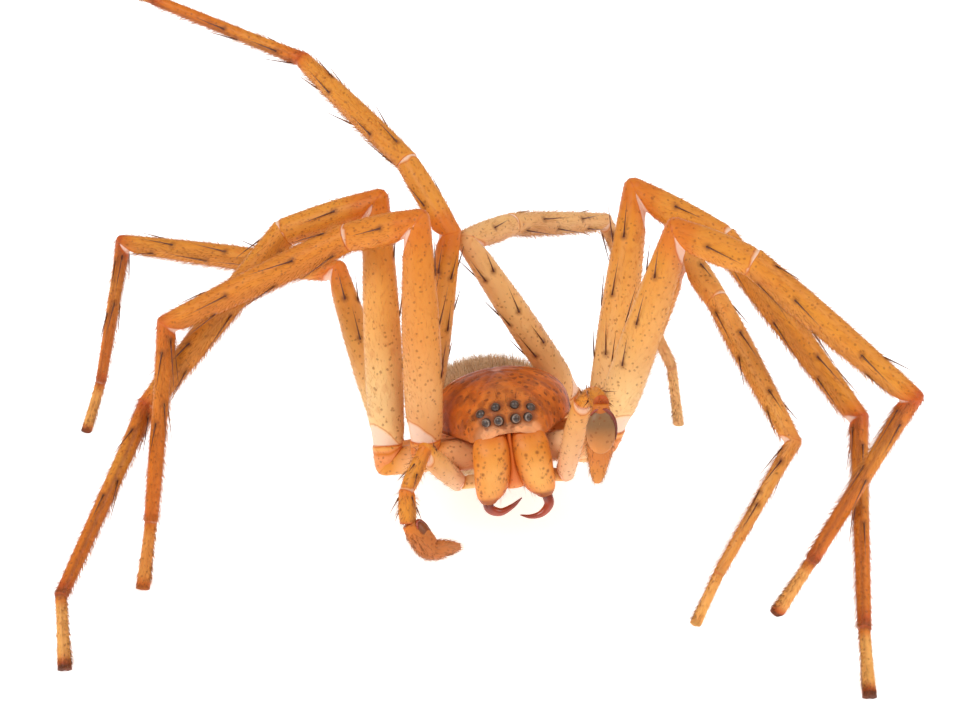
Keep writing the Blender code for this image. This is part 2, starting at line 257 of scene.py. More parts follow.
def new_group(name, inputs, output):
    """A node group, with its inputs, its one output and the object's own coordinates."""
    tree = bpy.data.node_groups.new(name, "ShaderNodeTree")
    for label, value in inputs.items():
        socket = tree.interface.new_socket(name=label, in_out="INPUT", socket_type="NodeSocketFloat")
        socket.default_value = value
    tree.interface.new_socket(name=output, in_out="OUTPUT", socket_type="NodeSocketFloat")
    into, out = tree.nodes.new("NodeGroupInput").outputs, tree.nodes.new("NodeGroupOutput").inputs
    return tree, into, out[output], add(tree, "ShaderNodeTexCoord").outputs["Object"]


flecks, into, out, place = new_group("Flecks", {"Scale": 2500.0, "Size": 0.2, "Crowding": 0.5}, "Mask")
warp = noise(flecks, place, times(flecks, into["Scale"], FLECK_WARP_SCALE), 2.0)["Color"]
warp = vector_node(flecks, "SUBTRACT", warp, (0.5, 0.5, 0.5))
warp = vector_node(flecks, "SCALE", warp, scale=math_node(flecks, "DIVIDE", FLECK_WARP, into["Scale"]))
place = vector_node(flecks, "ADD", place, warp)
softer = times(flecks, into["Size"], FLECK_SOFTNESS)
spots = fade(flecks, cells(flecks, place, into["Scale"]), into["Size"], softer)
crowds = noise(flecks, place, times(flecks, into["Scale"], CROWD_SCALE), 1.0)["Fac"]
bare = math_node(flecks, "SUBTRACT", 1.0, into["Crowding"])
crowds = fade(flecks, crowds, math_node(flecks, "ADD", bare, CROWD_SOFTNESS), bare)
flecks.links.new(times(flecks, spots, crowds), out)

patches, into, out, place = new_group("Patches", {"Scale": 500.0, "Contrast": 0.5}, "Mask")
centred = math_node(patches, "SUBTRACT", noise(patches, place, into["Scale"], 3.0)["Fac"], 0.5)
stretched = times(patches, centred, times(patches, into["Contrast"], 5.0))
patches.links.new(math_node(patches, "ADD", stretched, 0.5, clamp=True), out)

grain, into, out, place = new_group("Grain", {"Scale": 6000.0, "Roughness": 0.5}, "Height")
waves = noise(grain, place, times(grain, into["Scale"], 0.25), 4.0)["Fac"]
rough = times(grain, waves, into["Roughness"])
grain.links.new(math_node(grain, "ADD", cells(grain, place, into["Scale"]), rough), out)
print("Shader groups:", [tree.name for tree in (flecks, patches, grain)])

# %% [markdown]
# ## The shell's finish
# Every piece of shell has the same build: a colour that each point of the skin carries, slow patches, fine flecks,
# larger smudges, a brown spot round each spine, and pale skin in the joints with a thin dark line at its rim. On the
# shield the same brown spot rings each eye, as painted shade where the eye meets the plate. The skin holds the
# distance to the joint's rim and to the nearest spine (on the shield, the nearest eye) in millimetres, and the shader
# turns each distance into a crisp edge, which is sharper than a painted mask on the same points would be.

# %% Material for shell
# How strong the spot round a spine is, and the painted shade round each eye on the shield
SPINE_SPOT_OR_EYE_SHADE = 0.75
# Distances in millimetres at which soft skin and the line at its rim fade out, and how far the edge wanders
SKIN_FADE = (-0.2, 0.02)
RIM_FADE = (0.01, 0.07)
RIM_STRENGTH = 0.5
EDGE_WANDER = 0.1
EDGE_SCALE = 1500.0
DIMPLE_DEPTH = 0.02


def new_material(name):
    made = bpy.data.materials.new(name)
    made.use_nodes = True
    return made, made.node_tree, made.node_tree.nodes["Principled BSDF"]


def set_shader(tree, shader, colour, values):
    """The shader's colour, and the values that are the same all over."""
    tree.links.new(colour, shader.inputs["Base Color"])
    for label, value in values.items():
        shader.inputs[label].default_value = value


def group_node(tree, group, **values):
    return add(tree, "ShaderNodeGroup", values, node_tree=group).outputs[0]


def blend(tree, factor, below, above):
    """The colour above over the colour below, by a factor."""
    links = {0: factor}
    for index, colour in ((6, below), (7, above)):
        links[index] = colour if isinstance(colour, bpy.types.NodeSocket) else (*colour, 1)
    return add(tree, "ShaderNodeMix", links, data_type="RGBA").outputs[2]


def reading(tree, name, output="Fac"):
    return add(tree, "ShaderNodeAttribute", attribute_name=name).outputs[output]


def shell(name, roughness=0.45, patch=(450, 0.5, RUST, 0.2), fleck=(3500, 0.16, 0.8, BROWN, 0.5),
          smudge=(1500, 0.2, 0.5, RUST, 0.2), spot=(0.06, 0.32), soft=0.75, relief=(7000, 0.25)):
    """A finish for shell, from its own patches, flecks, smudges, spots round spines or painted shade round eyes,
    joint skin and dimples.
    """
    made, tree, shader = new_material(name)
    scale, contrast, shade, amount = patch
    mask = group_node(tree, patches, Scale=scale, Contrast=contrast)
    colour = blend(tree, times(tree, mask, amount), reading(tree, "Tint", "Color"), shade)
    for scale, size, crowding, shade, amount in (smudge, fleck):
        mask = group_node(tree, flecks, Scale=scale, Size=size, Crowding=crowding)
        colour = blend(tree, times(tree, mask, amount), colour, shade)
    # On the shield Spot is the distance to the eyes, and this brown spot is painted shade round each eye
    spine_spot_or_eye_shade = fade(tree, reading(tree, "Spot"), *spot)
    colour = blend(tree, times(tree, spine_spot_or_eye_shade, SPINE_SPOT_OR_EYE_SHADE), colour, BROWN)
    uneven = math_node(tree, "SUBTRACT", group_node(tree, patches, Scale=EDGE_SCALE, Contrast=0.5), 0.5)
    edge = math_node(tree, "ADD", reading(tree, "Edge"), times(tree, uneven, EDGE_WANDER))
    colour = blend(tree, times(tree, fade(tree, edge, *SKIN_FADE), soft), colour, JOINT_PINK)
    rim = fade(tree, math_node(tree, "ABSOLUTE", edge), *RIM_FADE)
    colour = blend(tree, times(tree, rim, RIM_STRENGTH), colour, RUST)
    height = group_node(tree, grain, Scale=relief[0], Roughness=1.2)
    bump = add(tree, "ShaderNodeBump", {"Height": height, "Strength": relief[1], "Distance": DIMPLE_DEPTH * MM})
    tree.links.new(bump.outputs["Normal"], shader.inputs["Normal"])
    set_shader(tree, shader, colour, {
        "Roughness": roughness, "Specular IOR Level": 0.3, "Subsurface Weight": 0.12,
        "Subsurface Scale": 0.35 * MM, "Subsurface Radius": (1.0, 0.5, 0.22),
    })
    return made


leg_shell = shell("leg_shell")
shield_shell = shell(
    "shield_shell", patch=(1100, 0.9, BROWN, 0.3), fleck=(2500, 0.2, 0.66, DARK_BROWN, 0.6),
    smudge=(1700, 0.3, 0.75, BROWN, 0.4), spot=(0.03, 0.17), relief=(3600, 0.8),
)
jaw_shell = shell(
    "jaw_shell", roughness=0.38, patch=(500, 0.5, ORANGE, 0.35), fleck=(3200, 0.15, 0.5, BROWN, 0.55),
    smudge=(1500, 0.2, 0.35, RUST, 0.35), spot=(0.035, 0.15),
)
palp_shell = shell("palp_shell", smudge=(1300, 0.2, 0.3, RUST, 0.35), spot=(0.04, 0.16), soft=0.5)
organ_shell = shell(
    "organ_shell", roughness=0.35, patch=(900, 0.8, seen(140, 104, 66), 0.35), smudge=(1800, 0.3, 0.5, BROWN, 0.3),
)
belly_shell = shell(
    "belly_shell", roughness=0.5, patch=(400, 0.5, AMBER, 0.25), smudge=(1100, 0.2, 0.25, RUST, 0.2),
)
hide = shell(
    "hide", roughness=0.7, patch=(500, 0.8, BROWN, 0.3), fleck=(1800, 0.2, 0.5, BROWN, 0.5), relief=(4000, 0.5),
)

# %% [markdown]
# ## Finishes for floor, hairs, spines, fangs and eyes
# The floor is matt and white. A hair takes the colour of the skin at its root, and each is a little paler or darker
# than the next. Spines and fangs are solid dark horn that gets redder towards the tip. An eye is a clear dome over a
# dark cup, with a paler ring in it that is a painted reflection.

# %% Other materials
floor_finish, tree, shader = new_material("floor_finish")
paper = group_node(tree, patches, Scale=3.0, Contrast=0.2)
set_shader(tree, shader, blend(tree, paper, seen(250, 250, 251), seen(254, 254, 254)), {
    "Roughness": 0.9, "Specular IOR Level": 0.1, "Emission Color": (1, 1, 1, 1), "Emission Strength": FLOOR_GLOW,
})
floor_mesh.materials.append(floor_finish)


def hair(name, pale, dark, share, roughness=0.55):
    """Hairs between a pale and a dark colour, each mixed with the skin's own colour at its root."""
    made, tree, shader = new_material(name)
    colour = blend(tree, share, blend(tree, reading(tree, "Tone"), pale, dark), reading(tree, "Tint", "Color"))
    set_shader(tree, shader, colour, {"Roughness": roughness, "Specular IOR Level": 0.3})
    return made


leg_hair = hair("leg_hair", seen(238, 172, 100), seen(168, 98, 48), 0.55)
body_hair = hair("body_hair", seen(222, 158, 96), seen(90, 46, 22), 0.2)
coat_hair = hair("coat_hair", seen(255, 236, 204), seen(232, 182, 130), 0.5, roughness=0.7)
brush_hair = hair("brush_hair", seen(150, 88, 48), seen(60, 32, 18), 0.1)


def horn(name, base, middle, tip, roughness, coat):
    """Dark horn that changes colour along its length."""
    made, tree, shader = new_material(name)
    along = reading(tree, "Length")
    mask = group_node(tree, patches, Scale=2500.0, Contrast=0.5)
    far = blend(tree, fade(tree, along, 1.0, 0.45), middle, tip)
    near = blend(tree, fade(tree, along, 0.05, 0.35), far, base)
    colour = blend(tree, times(tree, mask, 0.3), near, DARK_BROWN)
    set_shader(tree, shader, colour, {"Roughness": roughness, "Coat Weight": coat, "Coat Roughness": 0.12})
    return made


spine_horn = horn("spine_horn", seen(92, 44, 20), seen(110, 54, 24), seen(160, 92, 48), 0.35, 0.1)
fang_horn = horn("fang_horn", seen(110, 32, 12), seen(172, 62, 26), seen(140, 44, 18), 0.25, 0.4)

eye_glass, tree, shader = new_material("eye_glass")
depth = reading(tree, "Length")
# A pale ring painted in as a reflection, in the colour that the eye carries
ring = times(tree, fade(tree, depth, 0.50, 0.40), fade(tree, depth, 0.56, 0.66))
cloud = group_node(tree, patches, Scale=6000.0, Contrast=0.8)
cup = blend(tree, cloud, seen(54, 40, 34), seen(86, 68, 58))
lit = blend(tree, times(tree, ring, 0.8), cup, reading(tree, "Tint", "Color"))
rimmed = blend(tree, fade(tree, depth, 0.9, 0.7), lit, seen(34, 24, 22))
set_shader(tree, shader, rimmed, {"Roughness": 0.3, "Coat Weight": 0.25, "Coat Roughness": 0.1})
print("Materials:", len(bpy.data.materials))

# %% [markdown]
# ## Smooth lines through stations
# The parts of a spider swell and taper smoothly, and each is described by a few stations: a place along the part and
# the sizes there. A cubic curve through the stations gives the sizes in between.

# %% Curves through stations


def curve_through(stations, at):
    """Sizes at the places asked for, on a smooth curve through rows of place and sizes."""
    rows = np.asarray(stations, float)
    x, y = rows[:, 0], rows[:, 1:]
    at = np.clip(np.asarray(at, float), x[0], x[-1])
    slopes = np.gradient(y, x, axis=0)
    i = np.clip(np.searchsorted(x, at) - 1, 0, len(x) - 2)
    span = (x[i + 1] - x[i])[:, None]
    t = (at - x[i])[:, None] / span
    start = (2 * t**3 - 3 * t**2 + 1) * y[i] + (t**3 - 2 * t**2 + t) * span * slopes[i]
    end = (3 * t**2 - 2 * t**3) * y[i + 1] + (t**3 - t**2) * span * slopes[i + 1]
    return start + end


def colours_through(stations, at):
    """Colours at the places asked for, from rows of place and colour."""
    places = [row[0] for row in stations]
    colours = np.array([row[1] for row in stations])
    return np.stack([np.interp(at, places, colours[:, channel]) for channel in range(3)], axis=-1)


def layered(tint, *layers):
    """A colour with others laid over it, each by its own mask."""
    for mask, colour in layers:
        tint = tint + (colour - tint) * np.clip(mask, 0, 1)[..., None]
    return tint


def circle(count):
    """Even steps once round, in radians."""
    return np.linspace(0, 2 * math.pi, count, endpoint=False)


def spokes(turns, first, second):
    """Directions round a limb, from the first of two that stand square to it towards the second."""
    return np.cos(turns)[:, None] * first + np.sin(turns)[:, None] * second


# %% [markdown]
# ## A skin over rings
# Each part is a stack of rings with the same number of points, joined by quads and closed by a fan at each end. The
# skin carries what the later steps need as attributes: its colour, the lie and length of its hairs and where they
# grow. It is unwrapped as a label is from a bottle: once round in one direction and along its length in the other.

# %% Skins
# What each point of a skin knows unless it is told otherwise: its colour, the way its hairs lie, its distances to
# the joint's rim and the nearest spine (on the shield the nearest eye, for the painted shade round it), how many
# hairs of two kinds grow there, their length, and its own place along a spine or fang
POINT_VALUES = {
    "Tint": AMBER, "Lie": (0, 0, 1), "Edge": 1.0, "Spot": 1.0, "Cover": 0.0, "Brush": 0.0, "Reach": 1.0,
    "Length": 0.0,
}
ATTRIBUTE_KINDS = {1: ("FLOAT", "value"), 3: ("FLOAT_VECTOR", "vector"), 4: ("FLOAT_COLOR", "color")}


def keep_values(mesh, label, values):
    """A number, a direction or a colour for each point, in one row each."""
    kind, key = ATTRIBUTE_KINDS[values.shape[1]]
    mesh.attributes.new(label, kind, "POINT").data.foreach_set(key, values.astype(np.float32).ravel())


def place_piece(name, mesh, replaces=()):
    piece = bpy.data.objects.new(name, mesh)
    bpy.context.scene.collection.objects.link(piece)
    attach(piece, "root")
    if replaces:
        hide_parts(*replaces)
    return piece


def skin(name, rings, finish, slot, replaces=(), lengths=None, **attributes):
    """A closed smooth skin over rings of points in millimetres, riding on the body."""
    rings = np.asarray(rings, float)
    count, sides = rings.shape[:2]
    if lengths is None:
        steps = np.linalg.norm(np.diff(rings.mean(axis=1), axis=0), axis=1)
        lengths = np.concatenate([[0], np.cumsum(steps + 1e-4)])
    along = np.asarray(lengths) / lengths[-1]
    points = np.concatenate([rings.reshape(-1, 3), [rings[0].mean(axis=0), rings[-1].mean(axis=0)]])
    faces, unwrap = [], []
    for i in range(count - 1):
        for j in range(sides):
            k = (j + 1) % sides
            faces.append((i * sides + j, i * sides + k, (i + 1) * sides + k, (i + 1) * sides + j))
            left, right = j / sides, (j + 1) / sides
            unwrap += [(left, along[i]), (right, along[i]), (right, along[i + 1]), (left, along[i + 1])]
    for row, level in ((0, 0.0), (count - 1, 1.0)):
        pole = count * sides + (row > 0)
        for j in range(sides):
            near, far = (j, (j + 1) % sides) if row else ((j + 1) % sides, j)
            faces.append((row * sides + near, row * sides + far, pole))
            left, right = (j, j + 1) if row else (j + 1, j)
            unwrap += [(left / sides, level), (right / sides, level), ((j + 0.5) / sides, level)]
    mesh = bpy.data.meshes.new(name)
    mesh.from_pydata(points * MM, [], faces)
    mesh.uv_layers.new(name="Unwrap").data.foreach_set("uv", np.array(unwrap, np.float32).ravel())
    for label, values in {**POINT_VALUES, **attributes}.items():
        values = np.asarray(values, float)
        shape = (count, sides, 3) if values.shape[-1:] == (3,) else (count, sides)
        full = np.broadcast_to(values, shape).reshape(count * sides, -1)
        full = np.concatenate([full, [full[:sides].mean(axis=0), full[-sides:].mean(axis=0)]])
        if label == "Tint":
            full = np.concatenate([full, np.ones((len(full), 1))], axis=1)
        keep_values(mesh, label, full)
    bm = bmesh.new()
    bm.from_mesh(mesh)
    bmesh.ops.recalc_face_normals(bm, faces=bm.faces)
    for face in bm.faces:
        face.smooth = True
    bm.to_mesh(mesh)
    bm.free()
    mesh.materials.append(finish)
    return place_piece(name, mesh, replaces)


# %% [markdown]
# ## A coat of hairs
# Hairs follow one rule everywhere: they grow where the skin's Cover says, lie along its Lie and lean up from the
# surface by a small angle. Geometry Nodes scatter points on the skin, turn one thin bent cone to each and realize
# them. Particle hair would look the same in a render but is lost on export. Each hair's patch in the map OFBake sits
# at its root's place on the unwrapped skin, so a baked picture gives it the colour of that spot.

# %% Geometry Nodes helpers


def new_geometry_tree(name, inputs):
    tree = bpy.data.node_groups.new(name, "GeometryNodeTree")
    tree.interface.new_socket(name="Geometry", in_out="INPUT", socket_type="NodeSocketGeometry")
    for label, (kind, value) in inputs.items():
        socket = tree.interface.new_socket(name=label, in_out="INPUT", socket_type="NodeSocket" + kind)
        if value is not None:
            socket.default_value = value
    tree.interface.new_socket(name="Geometry", in_out="OUTPUT", socket_type="NodeSocketGeometry")
    return tree, tree.nodes.new("NodeGroupInput").outputs, tree.nodes.new("NodeGroupOutput")


def named(tree, label, kind="FLOAT_VECTOR"):
    return add(tree, "GeometryNodeInputNamedAttribute", {"Name": label}, data_type=kind).outputs["Attribute"]


def store(tree, geometry, label, value, kind="FLOAT_VECTOR", domain="POINT"):
    links = {"Geometry": geometry, "Name": label, "Value": value}
    return add(tree, "GeometryNodeStoreNamedAttribute", links, data_type=kind, domain=domain).outputs["Geometry"]


def vector_of(tree, x, y, z=0.0):
    return add(tree, "ShaderNodeCombineXYZ", {0: x, 1: y, 2: z}).outputs[0]


def chance(tree, low, high, seed):
    """A random number for each point."""
    return add(tree, "FunctionNodeRandomValue", {2: low, 3: high, "Seed": seed}, data_type="FLOAT").outputs[1]


def aimed(tree, along, across):
    """The turn that points z along one direction and x towards another."""
    links = {"Primary Axis": along, "Secondary Axis": across}
    node = add(tree, "FunctionNodeAxesToRotation", links, primary_axis="Z", secondary_axis="X")
    return node.outputs["Rotation"]


def on_points(tree, points, shape, turn, size):
    links = {"Points": points, "Instance": shape, "Rotation": turn, "Scale": size}
    return add(tree, "GeometryNodeInstanceOnPoints", links).outputs["Instances"]


def bent_cone(tree, sides, steps, bend):
    """One hair of length 1 along z and radius 1, whose tip leans by the bend. It knows its own length."""
    sizes = {"Vertices": sides, "Side Segments": steps, "Radius Top": 0.0, "Radius Bottom": 1.0, "Depth": 1.0}
    cone = add(tree, "GeometryNodeMeshCone", sizes, fill_type="NGON").outputs["Mesh"]
    at = add(tree, "ShaderNodeSeparateXYZ", {0: add(tree, "GeometryNodeInputPosition").outputs[0]}).outputs
    known = store(tree, cone, "Length", at[2], "FLOAT")
    known = store(tree, known, "HairMap", vector_of(tree, math_node(tree, "ADD", at[0], 1.0), at[2]))
    offset = vector_of(tree, times(tree, times(tree, at[2], at[2]), bend), 0.0)
    return add(tree, "GeometryNodeSetPosition", {"Geometry": known, "Offset": offset}).outputs["Geometry"]


def finish_tree(tree, copies, given, out):
    """Turns the copies into real mesh. Each gets its own small patch of the map, at its root's place."""
    whole = add(tree, "GeometryNodeRealizeInstances", {"Geometry": copies}).outputs["Geometry"]
    within = vector_node(tree, "SCALE", named(tree, "HairMap"), scale=times(tree, given["Patch"], 0.5))
    place = vector_node(tree, "ADD", named(tree, "RootMap"), within)
    mapped = store(tree, whole, "OFBake", place, "FLOAT2", "CORNER")
    smooth = add(tree, "GeometryNodeSetShadeSmooth", {"Geometry": mapped}).outputs["Geometry"]
    last = add(tree, "GeometryNodeSetMaterial", {"Geometry": smooth, "Material": given["Finish"]})
    tree.links.new(last.outputs["Geometry"], out.inputs["Geometry"])


# %% The tree for a coat
# The width of a hair's patch in the map, and the least and most of its lean and length as shares of what is asked
PATCH = 0.003
LIFT_SPREAD = (0.5, 1.5)
LENGTH_SPREAD = (0.55, 1.15)

coat_tree, given, out = new_geometry_tree("Coat", {
    "Density": ("Float", 1e7), "Length": ("Float", 0.0005), "Thickness": ("Float", 1e-5), "Lift": ("Float", 0.4),
    "Stray": ("Float", 0.25), "Bend": ("Float", -4.0), "Seed": ("Int", 1), "Patch": ("Float", PATCH),
    "Where": ("String", "Cover"), "Finish": ("Material", None),
})
cover = times(coat_tree, given["Density"], named(coat_tree, given["Where"], "FLOAT"))
links = {"Mesh": given["Geometry"], "Density": cover, "Seed": given["Seed"]}
scatter = add(coat_tree, "GeometryNodeDistributePointsOnFaces", links, distribute_method="RANDOM").outputs
normal = scatter["Normal"]
links = {0: (-1, -1, -1), "Seed": given["Seed"]}
wander = add(coat_tree, "FunctionNodeRandomValue", links, data_type="FLOAT_VECTOR").outputs[0]
wander = vector_node(coat_tree, "SCALE", wander, scale=given["Stray"])
wish = vector_node(coat_tree, "ADD", named(coat_tree, "Lie"), wander)
upward = vector_node(coat_tree, "SCALE", normal, scale=vector_node(coat_tree, "DOT_PRODUCT", wish, normal))
flat = vector_node(coat_tree, "NORMALIZE", vector_node(coat_tree, "SUBTRACT", wish, upward))
lift = times(coat_tree, given["Lift"], chance(coat_tree, *LIFT_SPREAD, seed=7))
rise = vector_node(coat_tree, "SCALE", normal, scale=math_node(coat_tree, "SINE", lift))
run = vector_node(coat_tree, "SCALE", flat, scale=math_node(coat_tree, "COSINE", lift))
turn = aimed(coat_tree, vector_node(coat_tree, "ADD", rise, run), normal)
reach = times(coat_tree, given["Length"], named(coat_tree, "Reach", "FLOAT"))
reach = times(coat_tree, reach, chance(coat_tree, *LENGTH_SPREAD, seed=3))
size = vector_of(coat_tree, given["Thickness"], given["Thickness"], reach)
roots = store(coat_tree, scatter["Points"], "Tone", chance(coat_tree, 0.0, 1.0, seed=5), "FLOAT")
roots = store(coat_tree, roots, "RootMap", named(coat_tree, "Unwrap"))
hairs = on_points(coat_tree, roots, bent_cone(coat_tree, 3, 2, given["Bend"]), turn, size)
finish_tree(coat_tree, hairs, given, out)
print("Coat tree:", len(coat_tree.nodes), "nodes")

# %% Growing a coat


def run_tree(source, tree, name, values):
    """Runs a tree on a piece's mesh and keeps the result as a plain piece of its own."""
    helper = bpy.data.objects.new(name + "_source", source)
    bpy.context.scene.collection.objects.link(helper)
    step = helper.modifiers.new("grow", "NODES")
    step.node_group = tree
    sockets = {item.name: item.identifier for item in tree.interface.items_tree if item.in_out == "INPUT"}
    for label, value in values.items():
        step[sockets[label]] = value
    graph = bpy.context.evaluated_depsgraph_get()
    mesh = bpy.data.meshes.new_from_object(helper.evaluated_get(graph), depsgraph=graph)
    mesh.name = name
    helper.modifiers.remove(step)
    bpy.data.objects.remove(helper)
    for label in ("HairMap", "RootMap", "Lie", "Unwrap"):
        if label in mesh.attributes:
            mesh.attributes.remove(mesh.attributes[label])
    return place_piece(name, mesh)


def coat(piece, name, slot, finish, density, length, thickness, lift, seed, stray=0.25, bend=-4.0, where="Cover"):
    """Hairs over a piece: density in hairs per square millimetre, sizes in millimetres, lift in degrees."""
    grown = run_tree(piece.data, coat_tree, name, {
        "Density": density * 1e6, "Length": length * MM, "Thickness": thickness * MM,
        "Lift": math.radians(lift), "Stray": stray, "Bend": bend, "Seed": seed, "Where": where, "Finish": finish,
    })
    print(f"{name}: {len(grown.data.polygons)} faces")


# %% [markdown]
# ## Spines
# A huntsman's legs carry long dark spines in regular places, each in a small brown socket. The roots are points that
# know where their spine goes and how long it is. A second tree puts a bent six-sided cone and a low socket on each.

# %% The tree for spines
SPINE_BEND = -1.5
SOCKET_SHAPE = (1.0, 1.0, 0.45)

spine_tree, given, out = new_geometry_tree("Spines", {
    "Thickness": ("Float", 6e-5), "Bend": ("Float", SPINE_BEND), "Socket": ("Float", 1.1e-4),
    "Patch": ("Float", PATCH), "Finish": ("Material", None),
})
lie, outward = named(spine_tree, "Lie"), named(spine_tree, "Out")
roots = store(spine_tree, given["Geometry"], "RootMap", named(spine_tree, "Root"))
size = vector_of(spine_tree, given["Thickness"], given["Thickness"], named(spine_tree, "Reach", "FLOAT"))
cone = bent_cone(spine_tree, 6, 5, given["Bend"])
spines = on_points(spine_tree, roots, cone, aimed(spine_tree, lie, outward), size)
mound = add(spine_tree, "GeometryNodeMeshUVSphere", {"Segments": 10, "Rings": 6, "Radius": 1.0}).outputs["Mesh"]
mound = store(spine_tree, mound, "Length", 0.0, "FLOAT")
mound = store(spine_tree, mound, "HairMap", (0.5, 0.0, 0.0))
size = vector_node(spine_tree, "SCALE", SOCKET_SHAPE, scale=given["Socket"])
sockets = on_points(spine_tree, roots, mound, aimed(spine_tree, outward, lie), size)
both = add(spine_tree, "GeometryNodeJoinGeometry")
for part in (spines, sockets):
    spine_tree.links.new(part, both.inputs[0])
finish_tree(spine_tree, both.outputs[0], given, out)


def spines_from(name, roots, thickness=0.042, socket=0.058):
    """Spines on rows of point, way, outward direction, length and place on the unwrap."""
    mesh = bpy.data.meshes.new(name + "_roots")
    mesh.from_pydata([np.asarray(root[0]) * MM for root in roots], [], [])
    rows = [(way, outward, (*place, 0.0), (length * MM,)) for _, way, outward, length, place in roots]
    for label, values in zip(("Lie", "Out", "Root", "Reach"), zip(*rows)):
        keep_values(mesh, label, np.array(values))
    values = {"Thickness": thickness * MM, "Socket": socket * MM, "Bend": SPINE_BEND, "Finish": spine_horn}
    run_tree(mesh, spine_tree, name, values)
    print(f"{name}: {len(roots)} spines")


# %% [markdown]
# ## Limbs
# A leg or a palp is a chain of straight tubes. Where two meet, both are cut along the plane halfway between them, as
# a mitred frame is, which gives the crisp corner on the back of a spider's knee. The tube has its own directions
# round it: 0 degrees is the back of the limb, 90 the side that faces forwards and 180 the inside of the bend.
#
# At a joint the shell is open on the side that folds, and soft skin spans the gap. Each joint says how far the soft
# skin reaches before and after it, which way it faces and how far round it goes. The skin lies a little lower.

# %% Limb skins
SIDES = 32
TURNS = circle(SIDES)
# How much each direction round the limb faces the inside of the bend
UNDERSIDE = np.clip(-np.cos(TURNS), 0, 1)[None]
RING_STEP = 0.21
# How much of the rings' spacing is even, and the rest is closer at the ends
EVEN_SHARE = 0.45
ELBOW_STEPS = 3
CRISPNESS = 0.45
SKIN_SHARE = 0.965
# The soft skin's depth and the slope down to it, then the height, place and width of the shell's raised rim
SINK = (0.05, 0.12)
RIM = (0.018, 0.1, 0.07)


def limb_segments(joints, profiles, across, front_sign):
    """What each straight tube of a limb needs to know, from its joints and radii."""
    joints = [np.asarray(joint, float) for joint in joints]
    ways = [unit(b - a) for a, b in zip(joints, joints[1:])]
    lengths = [np.linalg.norm(b - a) for a, b in zip(joints, joints[1:])]
    segments = []
    for i, way in enumerate(ways):
        side = unit(across - way * np.dot(across, way))
        segments.append({
            "start": joints[i], "way": way, "length": lengths[i], "passed": sum(lengths[:i]), "total": sum(lengths),
            "back": -np.cross(side, way), "front": side * front_sign,
            "before": unit(ways[i - 1] + way) if i else way,
            "after": unit(ways[i + 1] + way) if i + 1 < len(ways) else way,
            "profile": [(t, radius * SKIN_SHARE) for t, radius in profiles[i]],
        })
    return segments


def tube(segment, turns, shares):
    """Points of a straight tube, with their distances from its ends. Inside a bend it stops at the mitre."""
    way = segment["way"]
    outward = spokes(turns, segment["back"], segment["front"])
    radius = curve_through(segment["profile"], shares)[:, 0]
    first_radius, last_radius = segment["profile"][0][1], segment["profile"][-1][1]
    first = np.maximum(-first_radius * (outward @ segment["before"]) / (way @ segment["before"]), 0)
    last = np.minimum(-last_radius * (outward @ segment["after"]) / (way @ segment["after"]), 0)
    last = last + segment["length"]
    reach = first + (last - first) * shares[:, None]
    points = segment["start"] + reach[..., None] * way + radius[:, None, None] * outward
    return points, outward, reach - first, last - reach


def bend_between(near, far):
    return math.acos(np.clip(near["way"] @ far["way"], -1, 1))


def elbow_rings(near, far, turns):
    """Rings that round the outside of a bend, each with its distance from the joint's middle and its share."""
    joint = far["start"]
    bend = bend_between(near, far)
    near_radius, far_radius = near["profile"][-1][1], far["profile"][0][1]
    near_out, far_out = [spokes(turns, segment["back"], segment["front"]) for segment in (near, far)]
    slide = -near_radius * (near_out @ near["after"]) / (near["way"] @ near["after"])
    inner = joint + near_radius * near_out + np.minimum(slide, 0)[:, None] * near["way"]
    outer = np.clip(slide / 0.15, 0, 1)[:, None]
    outside = np.clip(slide / (near_radius * math.tan(bend / 2) + 1e-6), 0, 1)[:, None]
    rows = []
    for step in range(1, 2 * ELBOW_STEPS):
        share = step / (2 * ELBOW_STEPS)
        out = unit(near_out * (1 - share) + far_out * share)
        corner = 1 / math.cos(bend * min(share, 1 - share)) - 1
        crisp = 1 + CRISPNESS * corner * outside
        radius = near_radius * (1 - share) + far_radius * share
        ball = joint + out * radius * crisp
        gap = radius * bend * (0.5 - share) * outer[:, 0]
        rows.append((inner + (ball - inner) * outer, out, gap, share))
    return rows


def gap_round(turns, turn=0.0):
    """How far round the limb each direction is from one given in degrees."""
    return np.abs((turns - math.radians(turn) + math.pi) % (2 * math.pi) - math.pi)


def facing(turns, towards, spread):
    """1 at the side that a joint's soft skin faces, falling to 0 round the limb."""
    return np.clip((np.cos(gap_round(turns) - math.radians(towards)) - spread) / (1 - spread), 0, 1)


